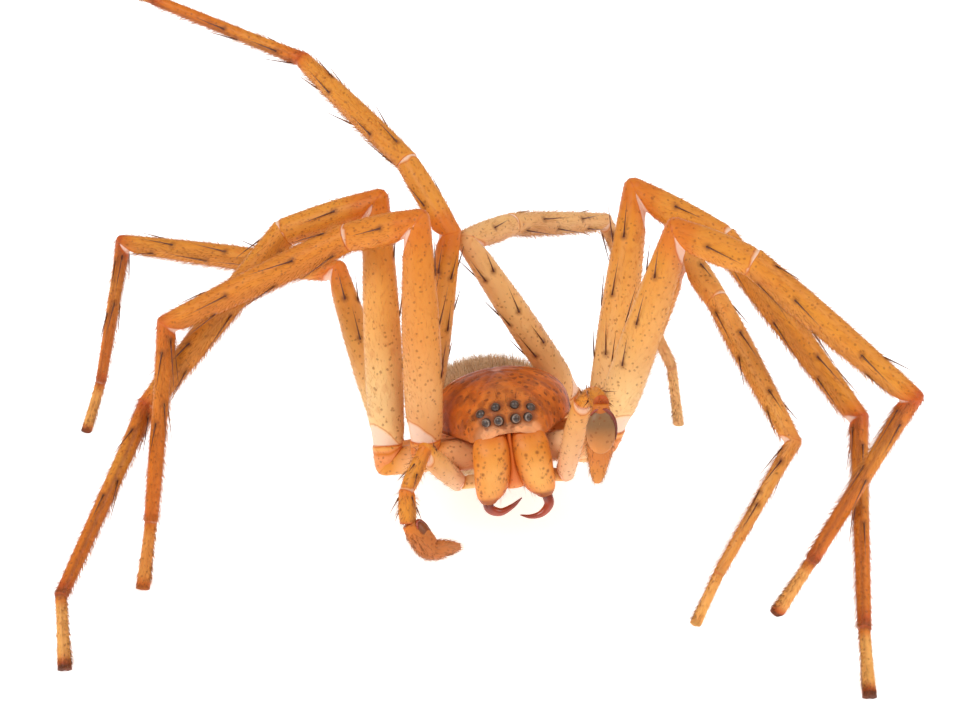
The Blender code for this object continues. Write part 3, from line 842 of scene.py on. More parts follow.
def limb(segments, joints, tint, cover, bumps=()):
    """Rings and attributes of a whole limb, in one row for each ring."""
    parts = {label: [] for label in ("rings", "Lie", "Edge", "Tint", "Cover", "Reach", "lengths")}

    def keep(i, points, outward, edge, shares, way, lengths):
        sunk = -SINK[0] * np.clip(-edge / SINK[1], 0, 1) + RIM[0] * np.exp(-(((edge - RIM[1]) / RIM[2]) ** 2))
        for which, share, turn, height, width in bumps:
            if which == i:
                along = (shares - share)[:, None] * segments[i]["length"]
                sunk = sunk + height * np.exp(-((gap_round(TURNS, turn) * 0.7) ** 2 + along**2) / width**2)
        amount, reach = cover[i]
        made = {
            "rings": points + sunk[..., None] * outward, "Lie": np.broadcast_to(way, points.shape), "Edge": edge,
            "Tint": np.broadcast_to(tint(i, shares[:, None]), points.shape), "Cover": amount * (edge > 0.05),
            "Reach": np.broadcast_to(reach, edge.shape), "lengths": lengths,
        }
        for label, part in made.items():
            parts[label].append(part)

    for i, segment in enumerate(segments):
        even = np.linspace(0, 1, max(8, int(segment["length"] / RING_STEP)) + 1)
        shares = EVEN_SHARE * even + (1 - EVEN_SHARE) * (1 - np.cos(math.pi * even)) / 2
        points, outward, from_start, to_end = tube(segment, TURNS, shares)
        edge = np.full(from_start.shape, 1.0)
        if i:
            _, after, towards, spread = joints[i - 1]
            rounded = bend_between(segments[i - 1], segment) / 2 * segment["profile"][0][1]
            past = from_start + rounded * (outward @ segment["before"] > 0)
            edge = np.minimum(edge, past - after * facing(TURNS, towards, spread))
        if i + 1 < len(segments):
            before, after, towards, spread = joints[i]
            rounded = bend_between(segment, segments[i + 1]) / 2 * segment["profile"][-1][1]
            ahead = to_end + rounded * (outward @ segment["after"] < 0)
            edge = np.minimum(edge, ahead - before * facing(TURNS, towards, spread))
        keep(i, points, outward, edge, shares, segment["way"], segment["passed"] + shares * segment["length"])
        if i + 1 < len(segments):
            face = facing(TURNS, towards, spread)
            for row, out_way, gap, share in elbow_rings(segment, segments[i + 1], TURNS):
                which, soft, end = (i, before, 1.0) if share <= 0.5 else (i + 1, after, 0.0)
                edge = np.abs(gap) - soft * face
                way = unit(segment["way"] * (1 - share) + segments[i + 1]["way"] * share)
                place = segment["passed"] + segment["length"] + (share - 0.5) * 0.02
                keep(which, row[None], out_way, edge[None], np.array([end]), way, np.array([place]))
    joined = {label: np.concatenate(part) for label, part in parts.items()}
    rings = joined["rings"]
    joined["rings"] = np.concatenate([rings[:1], rings[1:-1] * 0.5 + (rings[:-2] + rings[2:]) * 0.25, rings[-1:]])
    return joined


def on_limb(segment, turn, share):
    """A point of the tube with its outward direction and its place on the unwrap."""
    turn = math.radians(turn)
    points, outward, _, _ = tube(segment, np.array([turn]), np.array([share]))
    place = ((turn / (2 * math.pi)) % 1.0, (segment["passed"] + share * segment["length"]) / segment["total"])
    return points[0, 0], outward[0], place


def along_chain(joints):
    """The directions of a limb's segments, and one square to the plane in which it bends."""
    ways = [unit(b - a) for a, b in zip(joints, joints[1:])]
    return ways, unit(np.cross(ways[0], ways[2]))


def gap_to_spines(rings, rows):
    roots = np.array([row[0] for row in rows])
    return np.linalg.norm(rings[:, :, None] - roots, axis=-1).min(axis=-1)


# %% [markdown]
# ## Leg sizes
# These repeat the solids' own sizes: the lengths of the segments, their directions, and the radius of a leg along
# each segment as a share of the femur's. The last segments are turned a little so that the foot meets the floor.

# %% Leg sizes
LEG_LENGTHS = {
    1: (10.7, 3.8, 10.0, 9.6, 3.0),
    2: (11.7, 4.8, 10.9, 11.7, 3.4),
    3: (9.4, 3.6, 8.9, 7.4, 2.4),
    4: (10.4, 4.2, 8.7, 8.83, 3.1),
}
# Where each femur starts, then the heading and rise in degrees of femur, patella, tibia, metatarsus and tarsus
LEG_POSE = {
    ("right", 1): ((-3.75, -2.3, 7.3), (99.5, 77), (160, -21), (179.5, -28.5), (-102, -67.5), (-104, -61)),
    ("right", 2): ((-5.6, -1.2, 6.4), (96.5, 65.5), (176.5, -21), (-158, -48.2), (-110, -25), (-84, -40)),
    ("right", 3): ((-5.5, 1.6, 5.25), (111.2, 36.1), (153, -5.5), (152, -6.5), (-127, -70), (-128, -62.5)),
    ("right", 4): ((-3.8, 2.7, 5.9), (-25.5, 82.5), (128.5, 37), (128.5, 16), (150, 8.5), (150, 8.5)),
    ("left", 1): ((5.15, -2.6, 8.25), (2.5, 73.5), (-14.5, -17), (-15, -38), (-171, -57), (-171, -59.5)),
    ("left", 2): ((4.8, -0.7, 6.85), (73.4, 60.5), (-19.5, -21.5), (-32, -45), (-91, -30.5), (-88.5, -28)),
    ("left", 3): ((5.4, 1.3, 6.9), (63, 33.5), (-62, -20), (-64.5, -26.5), (-131, -40.5), (-129, -48)),
    ("left", 4): ((3.25, 4.1, 6.35), (-166.7, 60.3), (58.5, -12), (54, -21), (-6, -65), (-6.5, -83)),
}
LIFTED_LEG = ("right", 4)
BOTH_SIDES = (("left", 1), ("right", -1))
FEMUR_RADIUS = {1: 0.97, 2: 0.95, 3: 0.78, 4: 0.77}
LEG_SHAPE = {
    "femur": ((0.0, 0.80), (0.12, 0.94), (0.35, 1.0), (0.65, 0.93), (0.9, 0.78), (1.0, 0.72)),
    "patella": ((0.0, 0.72), (0.35, 0.82), (0.8, 0.79), (1.0, 0.74)),
    "tibia": ((0.0, 0.74), (0.25, 0.78), (0.65, 0.70), (1.0, 0.56)),
    "metatarsus": ((0.0, 0.52), (0.15, 0.46), (0.6, 0.40), (1.0, 0.36)),
    "tarsus": ((0.0, 0.30), (0.25, 0.30), (0.75, 0.34), (1.0, 0.38)),
}
THINNEST = 0.26
TROCHANTER = {1: 0.85, 2: 0.85, 3: 0.85, 4: 1.15}
# Shares of the femur's first radius along coxa and trochanter
FIRST_SHAPES = (
    ((0.45, 0.98), (0.8, 1.0), (0.93, 0.92), (1, 0.9)),
    ((0, 0.9), (0.3, 0.98), (0.55, 0.93), (0.8, 1.0), (1, 0.98)),
)
COXA_INNER_RADIUS = 0.55
COXA_START = {1: (1.0, -1.6, -1.3), 2: (1.0, -0.24, -1.3), 3: (1.0, 0.95, -1.3), 4: (1.0, 2.15, -1.3)}
FOOT_HEIGHT = 0.22
FOOT_PAD = 0.3
# The metatarsus turns within these degrees until the foot is at its height
METATARSUS = 3
TURN_LIMIT = 9.0


def heading(turn, rise):
    turn, rise = math.radians(turn), math.radians(rise)
    return np.array((math.cos(rise) * math.cos(turn), math.cos(rise) * math.sin(turn), math.sin(rise)))


def leg_joints(side, number):
    """Joint positions from the femur's base to the tip, in millimetres before the model is centred."""
    base, *angles = LEG_POSE[side, number]

    def chain(extra):
        joints = [np.array(base, float)]
        for i, (length, (turn, rise)) in enumerate(zip(LEG_LENGTHS[number], angles)):
            way = heading(turn, rise + (extra if i == METATARSUS else 0))
            joints.append(joints[-1] + way * length)
        return joints

    if (side, number) == LIFTED_LEG:
        return chain(0)
    low, high = -TURN_LIMIT, TURN_LIMIT
    for _ in range(40):
        middle = (low + high) / 2
        if chain(middle)[-1][2] > FOOT_HEIGHT:
            high = middle
        else:
            low = middle
    return chain(middle)


# %% [markdown]
# ## The legs' markings
# Each segment has its own colours from base to end. The femur starts cream and ends amber at the knee, the last two
# segments are browner underneath, and the foot's tip is nearly black. The coxa is painted paler, as painted light
# where the shield shades it. The two left hind legs are painted paler than the rest, as painted light where they lie
# in shade, and the right front leg is more orange. Hairs are sparse on the femur and thick under the foot, where they
# form the brushes that let a huntsman walk on walls.

# %% Leg markings
LEG_TINTS = (
    # The coxa is painted paler, as painted light where the shield shades it
    ((0.0, seen(255, 210, 162)), (0.8, seen(252, 196, 136)), (1.0, AMBER)),
    ((0.0, seen(240, 150, 84)), (0.3, FLESH), (0.5, ORANGE), (0.62, FLESH), (0.8, PALE_AMBER), (1.0, ORANGE)),
    ((0.0, CREAM), (0.2, CREAM), (0.5, PALE_AMBER), (0.85, AMBER), (0.96, ORANGE), (1.0, ORANGE)),
    ((0.0, ORANGE), (0.15, ORANGE), (0.3, AMBER), (1.0, AMBER)),
    ((0.0, AMBER), (0.9, AMBER), (0.97, ORANGE), (1.0, RUST)),
    ((0.0, RUST), (0.08, ORANGE), (0.3, AMBER), (0.6, ORANGE), (0.9, ORANGE), (0.96, RUST), (1.0, BROWN)),
    ((0.0, BROWN), (0.06, ORANGE), (0.2, PALE_AMBER), (0.8, PALE_AMBER), (0.92, RUST), (0.965, DARK_BROWN),
     (1.0, DARK_BROWN)),
)
# How much browner the underside of each segment is
LEG_UNDERSIDE = (0.0, 0.0, -0.12, 0.0, 0.12, 0.36, 0.25)
# Dark lines along the sides of the last segments: how strong, and how many degrees round from the back
LEG_LINES = ((5, 0.6, 100), (5, 0.6, -100), (4, 0.25, 110), (4, 0.25, -110), (6, 0.3, 105), (6, 0.3, -105))
LINE_WIDTH = 18
# Legs whose colour differs: towards which colour, and how far. The right front leg is more orange, and the two left
# hind legs are painted paler, as painted light where they lie in shade
LEG_TONES_AND_LIGHT = {("right", 1): (ORANGE, 0.45), ("left", 3): (PALE_AMBER, 0.6), ("left", 4): (CREAM, 0.65)}
# Hairs on each segment: how many, and how long, as shares of the coat's own values. The underside has more.
LEG_COVER = [
    (amount * (1 + 1.2 * UNDERSIDE), length * (1 + 0.25 * UNDERSIDE))
    for amount, length in ((0.2, 0.6), (0.3, 0.6), (0.5, 0.7), (0.7, 0.8), (1.1, 1.0), (1.4, 1.0), (1.7, 0.7))
]
# Soft skin in the joints: how far before and after, the side it faces and how far round it goes
LEG_JOINTS = (
    (0.00, 0.00, 180, 0.0),
    (0.05, 1.05, 140, -0.3),
    (0.75, 0.30, 180, -0.3),
    (0.26, 0.00, 40, 0.1),
    (0.40, 0.20, 180, 0.0),
    (0.03, 0.03, 180, -0.5),
)
# Two knobs beside the knee and a low bump at the femur's base: segment, share, turn, height, width
LEG_BUMPS = ((3, 0.10, 115, 0.10, 0.30), (3, 0.10, -115, 0.10, 0.30), (2, 0.06, 0, 0.06, 0.35))


def with_line(colour, strength, turn):
    """The colours with a soft brown line along the limb."""
    gap = np.degrees(gap_round(TURNS, turn))
    return layered(colour, (strength * np.exp(-((gap / LINE_WIDTH) ** 2)), BROWN))


def leg_tint(i, shares):
    under = UNDERSIDE * LEG_UNDERSIDE[i]
    tint = layered(colours_through(LEG_TINTS[i], shares), (under, BROWN))
    for which, strength, turn in LEG_LINES:
        if which == i:
            tint = with_line(tint, strength, turn)
    return layered(tint, (-under, WHITISH))


# %% [markdown]
# ## Spines of a leg
# Huntsman legs carry their spines in a set pattern: three rows of three on the femur, one on each side of the
# patella, and pairs on the tibia and metatarsus. The table gives the side, the place along the segment and the
# length. Two femora have lost their front row. Each spine leans up a little from the leg and points to the foot. A
# small seeded change makes no two alike.

# %% Spine pattern
FEMUR = 2
# Legs whose femur has lost its front row, whose spines stand more than this many degrees round to the front
WORN_LEGS = (("right", 1), ("right", 2))
FRONT_ROW_FROM = 50
LEG_SPINES = {
    2: (
        (5, 0.30, 1.9), (-8, 0.52, 2.0), (4, 0.78, 1.9), (62, 0.33, 1.7), (58, 0.56, 1.9), (66, 0.80, 1.9),
        (-62, 0.33, 1.7), (-58, 0.57, 1.9), (-66, 0.81, 1.9),
    ),
    3: ((72, 0.42, 1.7), (-72, 0.42, 1.7)),
    4: (
        (72, 0.27, 2.2), (76, 0.66, 2.2), (-72, 0.27, 2.2), (-76, 0.66, 2.2), (8, 0.09, 1.9), (-8, 0.75, 1.9),
        (132, 0.07, 2.5), (-132, 0.07, 2.5), (135, 0.43, 2.4), (-135, 0.43, 2.4), (140, 0.78, 1.9),
        (-140, 0.78, 1.9),
    ),
    5: (
        (78, 0.14, 2.1), (74, 0.50, 1.9), (-78, 0.14, 2.1), (-74, 0.50, 1.9), (130, 0.05, 2.6),
        (-130, 0.05, 2.6), (134, 0.40, 2.3), (-134, 0.40, 2.3),
    ),
}
SPINE_SCALE = {1: 1.05, 2: 1.1, 3: 0.92, 4: 0.9}
SPINE_LEAN = 9.0


def leg_spines(segments, number, dice, worn):
    """Rows of root, way, outward direction, length and place on the unwrap."""
    rows = []
    for i, spines in LEG_SPINES.items():
        for turn, share, length in spines:
            if worn and i == FEMUR and turn > FRONT_ROW_FROM:
                continue
            turn, share = turn + dice.uniform(-7, 7), share + dice.uniform(-0.02, 0.02)
            root, outward, place = on_limb(segments[i], turn, share)
            lean = math.radians(SPINE_LEAN + dice.uniform(-6, 8))
            twist = np.cross(outward, segments[i]["way"]) * dice.uniform(-0.12, 0.12)
            way = unit(segments[i]["way"] * math.cos(lean) + outward * math.sin(lean) + twist)
            length = length * SPINE_SCALE[number] * dice.uniform(0.85, 1.1)
            rows.append((root, way, outward, length, place))
    return rows


# %% [markdown]
# ## Building the eight legs
# One skin covers a whole leg, so no seam shows between its segments. Then come its spines and its coat. Hairs stop a
# little above the floor, so that none sinks into it.

# %% Eight legs
TIP_LENGTH = 0.14
# How far above the floor the hairs and the brush begin
HAIRS_FROM = 0.4
BRUSH_FROM = 0.3


def make_leg(side, sign, number):
    name = f"leg_{number}_{side}"
    joints = [joint + np.array(SHIFT) for joint in leg_joints(side, number)]
    ways, across = along_chain(joints)
    x, y, z = COXA_START[number]
    inner = in_body(sign * x, y, z)
    elbow = joints[0] - ways[0] * TROCHANTER[number]
    full = FEMUR_RADIUS[number]
    radius = max(LEG_SHAPE["femur"][0][1] * full, THINNEST)
    profiles = [[(t, radius * share) for t, share in shape] for shape in FIRST_SHAPES]
    profiles[0].insert(0, (0, COXA_INNER_RADIUS))
    for part in LEG_SHAPE.values():
        profiles.append([(t, max(share * full, THINNEST)) for t, share in part])
    tip = joints[-1] + ways[4] * FOOT_PAD
    segments = limb_segments([inner, elbow, *joints[:-1], tip], profiles, across, -sign)
    made = limb(segments, LEG_JOINTS, leg_tint, LEG_COVER, LEG_BUMPS)
    # The right front leg's own orange, and painted light that makes the two left hind legs paler
    shift_colour, share = LEG_TONES_AND_LIGHT.get((side, number), (AMBER, 0.0))
    made["Tint"] = made["Tint"] + (shift_colour - made["Tint"]) * share
    rings = made.pop("rings")
    last, centre = rings[-1], rings[-1].mean(axis=0)
    caps = [centre + ways[4] * TIP_LENGTH * (1 - share) + (last - centre) * share for share in (0.8, 0.45)]
    rings = np.concatenate([rings, caps])
    made = {label: np.concatenate([values, values[-1:], values[-1:]]) for label, values in made.items()}
    if (side, number) != LIFTED_LEG:
        rings[..., 2] = np.maximum(rings[..., 2], 0.0)
    made["Cover"] = made["Cover"] * (rings[..., 2] > HAIRS_FROM)
    end = np.clip((made["lengths"] / made["lengths"][-1] - 0.94) / 0.05, 0, 1)[:, None]
    foot = (made["lengths"] > segments[-1]["passed"])[:, None]
    brush = foot * UNDERSIDE * (0.3 + 0.7 * end) + 0.8 * (end > 0.99)
    made["Brush"] = brush * (rings[..., 2] > BRUSH_FROM)
    dice = np.random.default_rng(10 * number + sign)
    rows = leg_spines(segments, number, dice, (side, number) in WORN_LEGS)
    made["Spot"] = gap_to_spines(rings, rows)
    nodes = [f"{name}_{part}" for part in ("coxa", "femur", "tibia", "foot")]
    leg = skin(f"{name}_skin", rings, leg_shell, "leg", nodes, **made)
    spines_from(f"{name}_spines", rows)
    coat(leg, f"{name}_hairs", "leg", leg_hair, 34.0, 0.46, 0.009, 32, number, stray=0.3)
    coat(leg, f"{name}_brush", "leg", brush_hair, 200.0, 0.24, 0.011, 40, number, stray=0.5, where="Brush")


for side, sign in BOTH_SIDES:
    for number in LEG_LENGTHS:
        make_leg(side, sign, number)

# %% [markdown]
# ## The front shield
# One plate covers the front body. It is highest in the middle, has a small pit where the stomach's muscles hold on,
# and shallow grooves run from the pit to the legs and on either side of the head. The same stations as in the solid
# give its outline. Height and colour both follow from the distance to the grooves, so they always agree.

# %% Shield sizes
SHIELD = (
    (-3.42, 1.35, 0.62), (-3.25, 1.72, 1.05), (-2.85, 1.98, 1.50), (-2.1, 2.32, 1.84), (-1.1, 2.90, 2.10),
    (0.2, 3.32, 2.30), (1.4, 3.28, 2.22), (2.4, 2.85, 1.85), (3.2, 2.10, 1.20), (3.75, 1.15, 0.50),
)
SHIELD_BOTTOM = -0.1
FRONT_ARCH = 0.3
SHIELD_ROUNDNESS = 0.75
PIT = (0.0, 0.75)
HEAD_GROOVES = (((0.22, 0.2), (1.0, -1.3)), ((1.0, -1.3), (1.9, -2.5)))
LEG_GROOVES = (
    ((0.3, 0.4), (2.7, -0.9)), ((0.35, 0.85), (3.1, 0.7)), ((0.25, 1.2), (2.6, 2.3)), ((0.1, 1.5), (1.2, 3.2)),
)
# The rounded front end: y, and how wide and how high each ring is
FRONT_END = ((-3.47, 0.97, 0.95), (-3.50, 0.85, 0.82), (-3.51, 0.5, 0.5))
# Half the distance between a pair of eyes, then y, z and radius, and which way the left one looks
EYES = {
    "front_middle": (0.40, -3.36, 0.86, 0.25, (0.22, -1.0, 0.22)),
    "front_side": (0.99, -3.18, 0.79, 0.25, (0.5, -0.95, 0.12)),
    "rear_side": (1.19, -2.86, 1.13, 0.25, (0.75, -0.7, 0.4)),
    "rear_middle": (0.456, -2.95, 1.42, 0.23, (0.25, -0.8, 0.6)),
}
EYE_PLACES = [
    (np.array((sign * half, y, z)), radius, (sign * look[0], *look[1:]), pair, side)
    for pair, (half, y, z, radius, look) in EYES.items() for side, sign in BOTH_SIDES
]


def gap_to_line(x, y, line):
    """Distance of each point from a straight groove, which both sides of the shield have."""
    (ax, ay), (bx, by) = line
    x = np.abs(x)
    t = np.clip(((x - ax) * (bx - ax) + (y - ay) * (by - ay)) / ((bx - ax) ** 2 + (by - ay) ** 2), 0, 1)
    return np.hypot(x - ax - t * (bx - ax), y - ay - t * (by - ay))


# %% Shield
stations = np.concatenate([np.linspace(-3.42, -2.5, 24), np.linspace(-2.45, 3.75, 66)])
arch = np.linspace(0, math.pi, 81)
level = np.linspace(-0.96, 0.96, 15)
half_width, height = np.hsplit(curve_through(SHIELD, stations), 2)
rise = np.sin(arch) ** SHIELD_ROUNDNESS
x = np.concatenate([half_width * np.cos(arch), half_width * level], axis=1)
y = np.repeat(stations[:, None], x.shape[1], axis=1)
top = SHIELD_BOTTOM + (height - SHIELD_BOTTOM) * rise
forward = np.clip((-2.4 - stations) / 0.8, 0, 1)[:, None]
under = SHIELD_BOTTOM + FRONT_ARCH * forward * np.clip(1 - (x[:, len(arch) :] / 1.5) ** 2, 0, 1)
z = np.concatenate([top, under], axis=1)
upper = np.concatenate([rise, level * 0])[None]

head_gap, leg_gap = [
    np.min([gap_to_line(x, y, line) for line in lines], axis=0) for lines in (HEAD_GROOVES, LEG_GROOVES)
]
pit = np.exp(-((x / 0.17) ** 2) - ((y - PIT[1]) / 0.26) ** 2)
points = np.stack([x, y, z], -1)
eye_gap = np.min([np.linalg.norm(points - at, axis=-1) - size for at, size, *_ in EYE_PLACES], axis=0)
collar = np.exp(-(((eye_gap - 0.05) / 0.06) ** 2))
z = z + upper * (
    0.05 * collar - 0.11 * pit - 0.06 * np.exp(-((head_gap / 0.14) ** 2))
    - 0.045 * np.exp(-((leg_gap / 0.13) ** 2))
)
for at, narrow, low in FRONT_END:
    middle = z[:1].mean()
    x = np.concatenate([x[:1] * narrow, x])
    y = np.concatenate([np.full((1, y.shape[1]), at), y])
    z = np.concatenate([middle + (z[:1] - middle) * low, z])
pad = [(len(FRONT_END), 0), (0, 0)]
head_gap, leg_gap, pit, eye_gap = [np.pad(part, pad, mode="edge") for part in (head_gap, leg_gap, pit, eye_gap)]

# %% The shield's colours
in_head = np.clip((head_gap - 0.1) / 0.5, 0, 1) * (np.abs(x) < 1.9 - 0.72 * (y + 2.6)) * (y < 0.2)
turn, reach = np.arctan2(y - PIT[1], x), np.hypot(x, y - PIT[1])
dice = np.random.default_rng(5)
waves = [(dice.integers(8, 44), dice.uniform(-7, 7), dice.uniform(0, 6)) for _ in range(24)]
mottle = sum(np.sin(round_count * turn + slope * reach + start) for round_count, slope, start in waves) / 5
tint = layered(
    seen(218, 110, 26),
    (in_head * 0.7, seen(222, 130, 54)),
    (np.clip(np.abs(x) / 3 - 0.2, 0, 1) * 0.7, seen(236, 132, 48)),
    (np.clip(mottle, 0, 1) * 0.35, seen(158, 70, 20)),
    (np.clip(-mottle, 0, 1) * 0.35, seen(232, 138, 56)),
    (np.exp(-((leg_gap / 0.2) ** 2)) * 0.4, seen(160, 72, 22)),
    (np.exp(-((head_gap / 0.16) ** 2)) * 0.4, seen(164, 76, 26)),
    (np.exp(-((np.hypot(x, (y - PIT[1]) * 0.8) / 0.55) ** 2)) * 0.6, seen(146, 66, 24)),
    (np.clip((z - 1.75) / 0.5, 0, 1) * 0.35, seen(150, 72, 28)),
    (pit, seen(240, 176, 152)),
    # Painted shade: a dark brown ring round each eye, where the dome meets the plate
    (np.exp(-((np.clip(eye_gap, 0, 9) / 0.2) ** 2)) * 0.5, seen(104, 54, 26)),
    (np.clip((0.35 - (z - SHIELD_BOTTOM)) / 0.3, 0, 1) * 0.5, seen(224, 138, 78)),
    # Painted light: the clypeus is painted paler to lift the shade at its lower edge above the jaws
    (np.clip((-3.25 - y) / 0.1, 0, 1) * np.clip((0.72 - z) / 0.12, 0, 1) * 0.9, seen(250, 174, 118)),
)
bare = (eye_gap > 0.05) * np.concatenate([rise > 0.1, level < -9])[None]
# Spot holds the distance to the eyes, so the shell's brown spot is painted shade round each eye
plate = skin(
    "shield_plate", in_frame(np.stack([x, y, z], -1)), shield_shell, "shield", ["carapace"], Tint=tint,
    Spot=eye_gap, Lie=body_way(0, 1, 0), Cover=bare * (0.4 + 0.6 * (y < -2.2)),
    Brush=bare * (y < -2.0) * (y > -3.2) * (eye_gap < 0.5),
)
coat(plate, "shield_hairs", "shield", body_hair, 16.0, 0.24, 0.008, 22, 11, stray=0.5)
coat(plate, "eye_bristles", "shield", brush_hair, 4.0, 0.5, 0.012, 70, 12, stray=0.6, where="Brush")
print("Shield points:", x.size)

# %% [markdown]
# ## Eyes
# Eight small eyes sit in two rows at the shield's front edge. Each is a clear dome that stands out of the plate by
# about half. The dome's pole looks the way the eye does, and the finish reads the distance from that pole to draw
# the pale ring, which is a painted reflection, and the dark rim.

# %% Eyes
# Colours of the painted reflection ring in the front and the rear eyes
EYE_REFLECTION_RINGS = {"front": seen(158, 136, 120), "rear": seen(78, 62, 52)}


def dome(name, centre, look, radius, replaces):
    look = unit(look)
    side = unit(np.cross(look, (0.1, 0.2, 1.0)))
    angles = np.linspace(0.04, math.pi - 0.04, 22)
    spoke = spokes(circle(28), side, np.cross(side, look))
    rows = [centre + radius * (math.cos(angle) * look + math.sin(angle) * spoke) for angle in angles]
    depths = (angles / (math.pi / 2))[:, None]
    tint = EYE_REFLECTION_RINGS[name.split("_")[0]]
    skin(name, rows, eye_glass, "eye", [replaces], Length=depths, Tint=tint)


for at, radius, look, pair, side in EYE_PLACES:
    dome(f"{pair}_eye_{side}", in_body(*at), body_way(*look), radius, f"eye_{pair}_{side}")
print("Eyes:", len(EYE_PLACES))

# %% [markdown]
# ## Jaws
# Each jaw is a stout cone that bulges forwards below the shield. The two meet in a red-brown groove and part towards
# the fangs. The shell is glossy and yellower in front, with small brown dots strewn over it where bristles stand.

# %% Jaws
# Height, centre x, centre y, half width and half depth
JAW = (
    (-0.12, 0.90, -3.12, 0.74, 0.36), (0.4, 0.93, -3.32, 0.89, 0.62), (1.1, 0.97, -3.42, 0.92, 0.76),
    (1.9, 1.05, -3.38, 0.87, 0.72), (2.5, 1.16, -3.33, 0.77, 0.60), (2.85, 1.26, -3.28, 0.62, 0.48),
    (3.1, 1.36, -3.25, 0.40, 0.34),
)
# The rounded lower end: height, and the share of the last ring's size
JAW_END = ((3.16, 0.9), (3.21, 0.7), (3.235, 0.35))
JAW_LENGTH = 3.22
DOTS = 34


def jaw_dots(sign):
    """Places strewn over the front of a jaw, and how much fainter each dot is than the darkest."""
    dice = np.random.default_rng(40 + sign)
    dots = []
    for i in range(DOTS):
        drop = 0.1 + 2.5 * (i + dice.uniform(0, 1)) / DOTS
        cx, cy, half_width, half_depth = curve_through(JAW, [drop])[0]
        angle = math.radians(-90 + (-1) ** i * dice.uniform(12, 62))
        dots.append((cx + half_width * math.cos(angle), cy + half_depth * math.sin(angle), -drop))
    return np.array(dots), np.array([dice.uniform(0, 0.07) for _ in dots])


def make_jaw(side, sign):
    drops = np.linspace(JAW[0][0], JAW[-1][0], 76)
    sizes = curve_through(JAW, drops)
    drops = np.append(drops, [drop for drop, _ in JAW_END])
    sizes = np.concatenate([sizes, [np.append(sizes[-1, :2], sizes[-1, 2:] * share) for _, share in JAW_END]])
    turns = circle(72)
    cx, cy, half_width, half_depth = np.hsplit(sizes, 4)
    x = cx + half_width * np.cos(turns)
    y = cy + half_depth * np.sin(turns)
    z = -drops[:, None] + 0 * x
    front = np.clip(-np.sin(turns), 0, 1)[None]
    inner = np.clip(-np.cos(turns), 0, 1)[None]
    share = (drops[:, None] - JAW[0][0]) / JAW_LENGTH
    tint = layered(
        seen(234, 144, 52),
        (front**2 * 0.8 * np.clip(share * 2.2 - 0.2, 0, 1), seen(246, 182, 96)),
        (inner**3, seen(184, 74, 18)),
        (np.clip((share - 0.75) / 0.2, 0, 1) * (0.3 + 0.7 * inner), seen(196, 88, 28)),
        (np.clip((share - 0.9) / 0.06, 0, 1) * 0.85, seen(140, 60, 26)),
        (np.clip((0.1 - share) / 0.1, 0, 1) * 0.7, RUST),
    )
    points = np.stack([x, y, z], -1)
    dots, fainter = jaw_dots(sign)
    spot = (np.linalg.norm(points[:, :, None] - dots, axis=-1) + fainter).min(axis=-1)
    jaw = skin(
        f"jaw_{side}", in_frame(points * (sign, 1, 1)), jaw_shell, "jaw", [f"chelicera_{side}"], Tint=tint,
        Spot=spot, Cover=0.5 + 0.5 * front, Lie=unit(body_way(0, -0.2, -1)),
        Brush=np.clip((share - 0.6) / 0.3, 0, 1) * inner * (share < 0.97),
    )
    coat(jaw, f"jaw_hairs_{side}", "jaw", body_hair, 6.0, 0.3, 0.009, 30, 20 + sign, stray=0.4)
    coat(jaw, f"jaw_fringe_{side}", "jaw", leg_hair, 9.0, 0.5, 0.010, 45, 22 + sign, where="Brush")


for side, sign in BOTH_SIDES:
    make_jaw(side, sign)

# %% [markdown]
# ## Fangs
# A fang is a curved claw of dark red horn. Its line is a smooth curve through five points, and the right one bends
# up behind the left one, as the animal's do. Soft red-brown skin fills the groove between the two jaws.

# %% Fangs
FANG_PATH = {
    "left": (
        (1.40, -3.25, -2.95), (1.48, -3.35, -3.62), (1.06, -3.42, -4.02), (0.52, -3.45, -4.08), (0.04, -3.45, -3.93),
    ),
    "right": (
        (1.42, -3.22, -2.95), (1.36, -3.24, -3.46), (0.92, -3.18, -3.72), (0.3, -3.1, -3.56), (-0.24, -3.1, -3.19),
    ),
}
FANG_RADIUS = ((0.0, 0.27), (0.25, 0.25), (0.6, 0.16), (0.85, 0.09), (1.0, 0.03))


def round_path(points, radii, count, sides, across):
    """Rings round a smooth curve through points, with radii by the share of its length."""
    points = np.asarray(points, float)
    passed = np.concatenate([[0], np.cumsum(np.linalg.norm(np.diff(points, axis=0), axis=1))])
    shares = np.linspace(0, 1, count)
    path = curve_through(np.column_stack([passed / passed[-1], points]), shares)
    ways = unit(np.gradient(path, axis=0))
    radius = curve_through(radii, shares)
    side = unit(across - ways * (ways @ across)[:, None])
    up = np.cross(side, ways)
    turns = circle(sides)[None, :, None]
    spoke = np.cos(turns) * (side * radius[:, :1])[:, None] + np.sin(turns) * (up * radius[:, -1:])[:, None]
    return path[:, None] + spoke, shares[:, None], ways[:, None]


for side, sign in BOTH_SIDES:
    path = [in_body(sign * x, y, z) for x, y, z in FANG_PATH[side]]
    rings, shares, _ = round_path(path, FANG_RADIUS, 44, 16, body_way(0, 1, 0))
    skin(f"fang_claw_{side}", rings, fang_horn, "fang", [f"fang_{side}"], Length=shares)

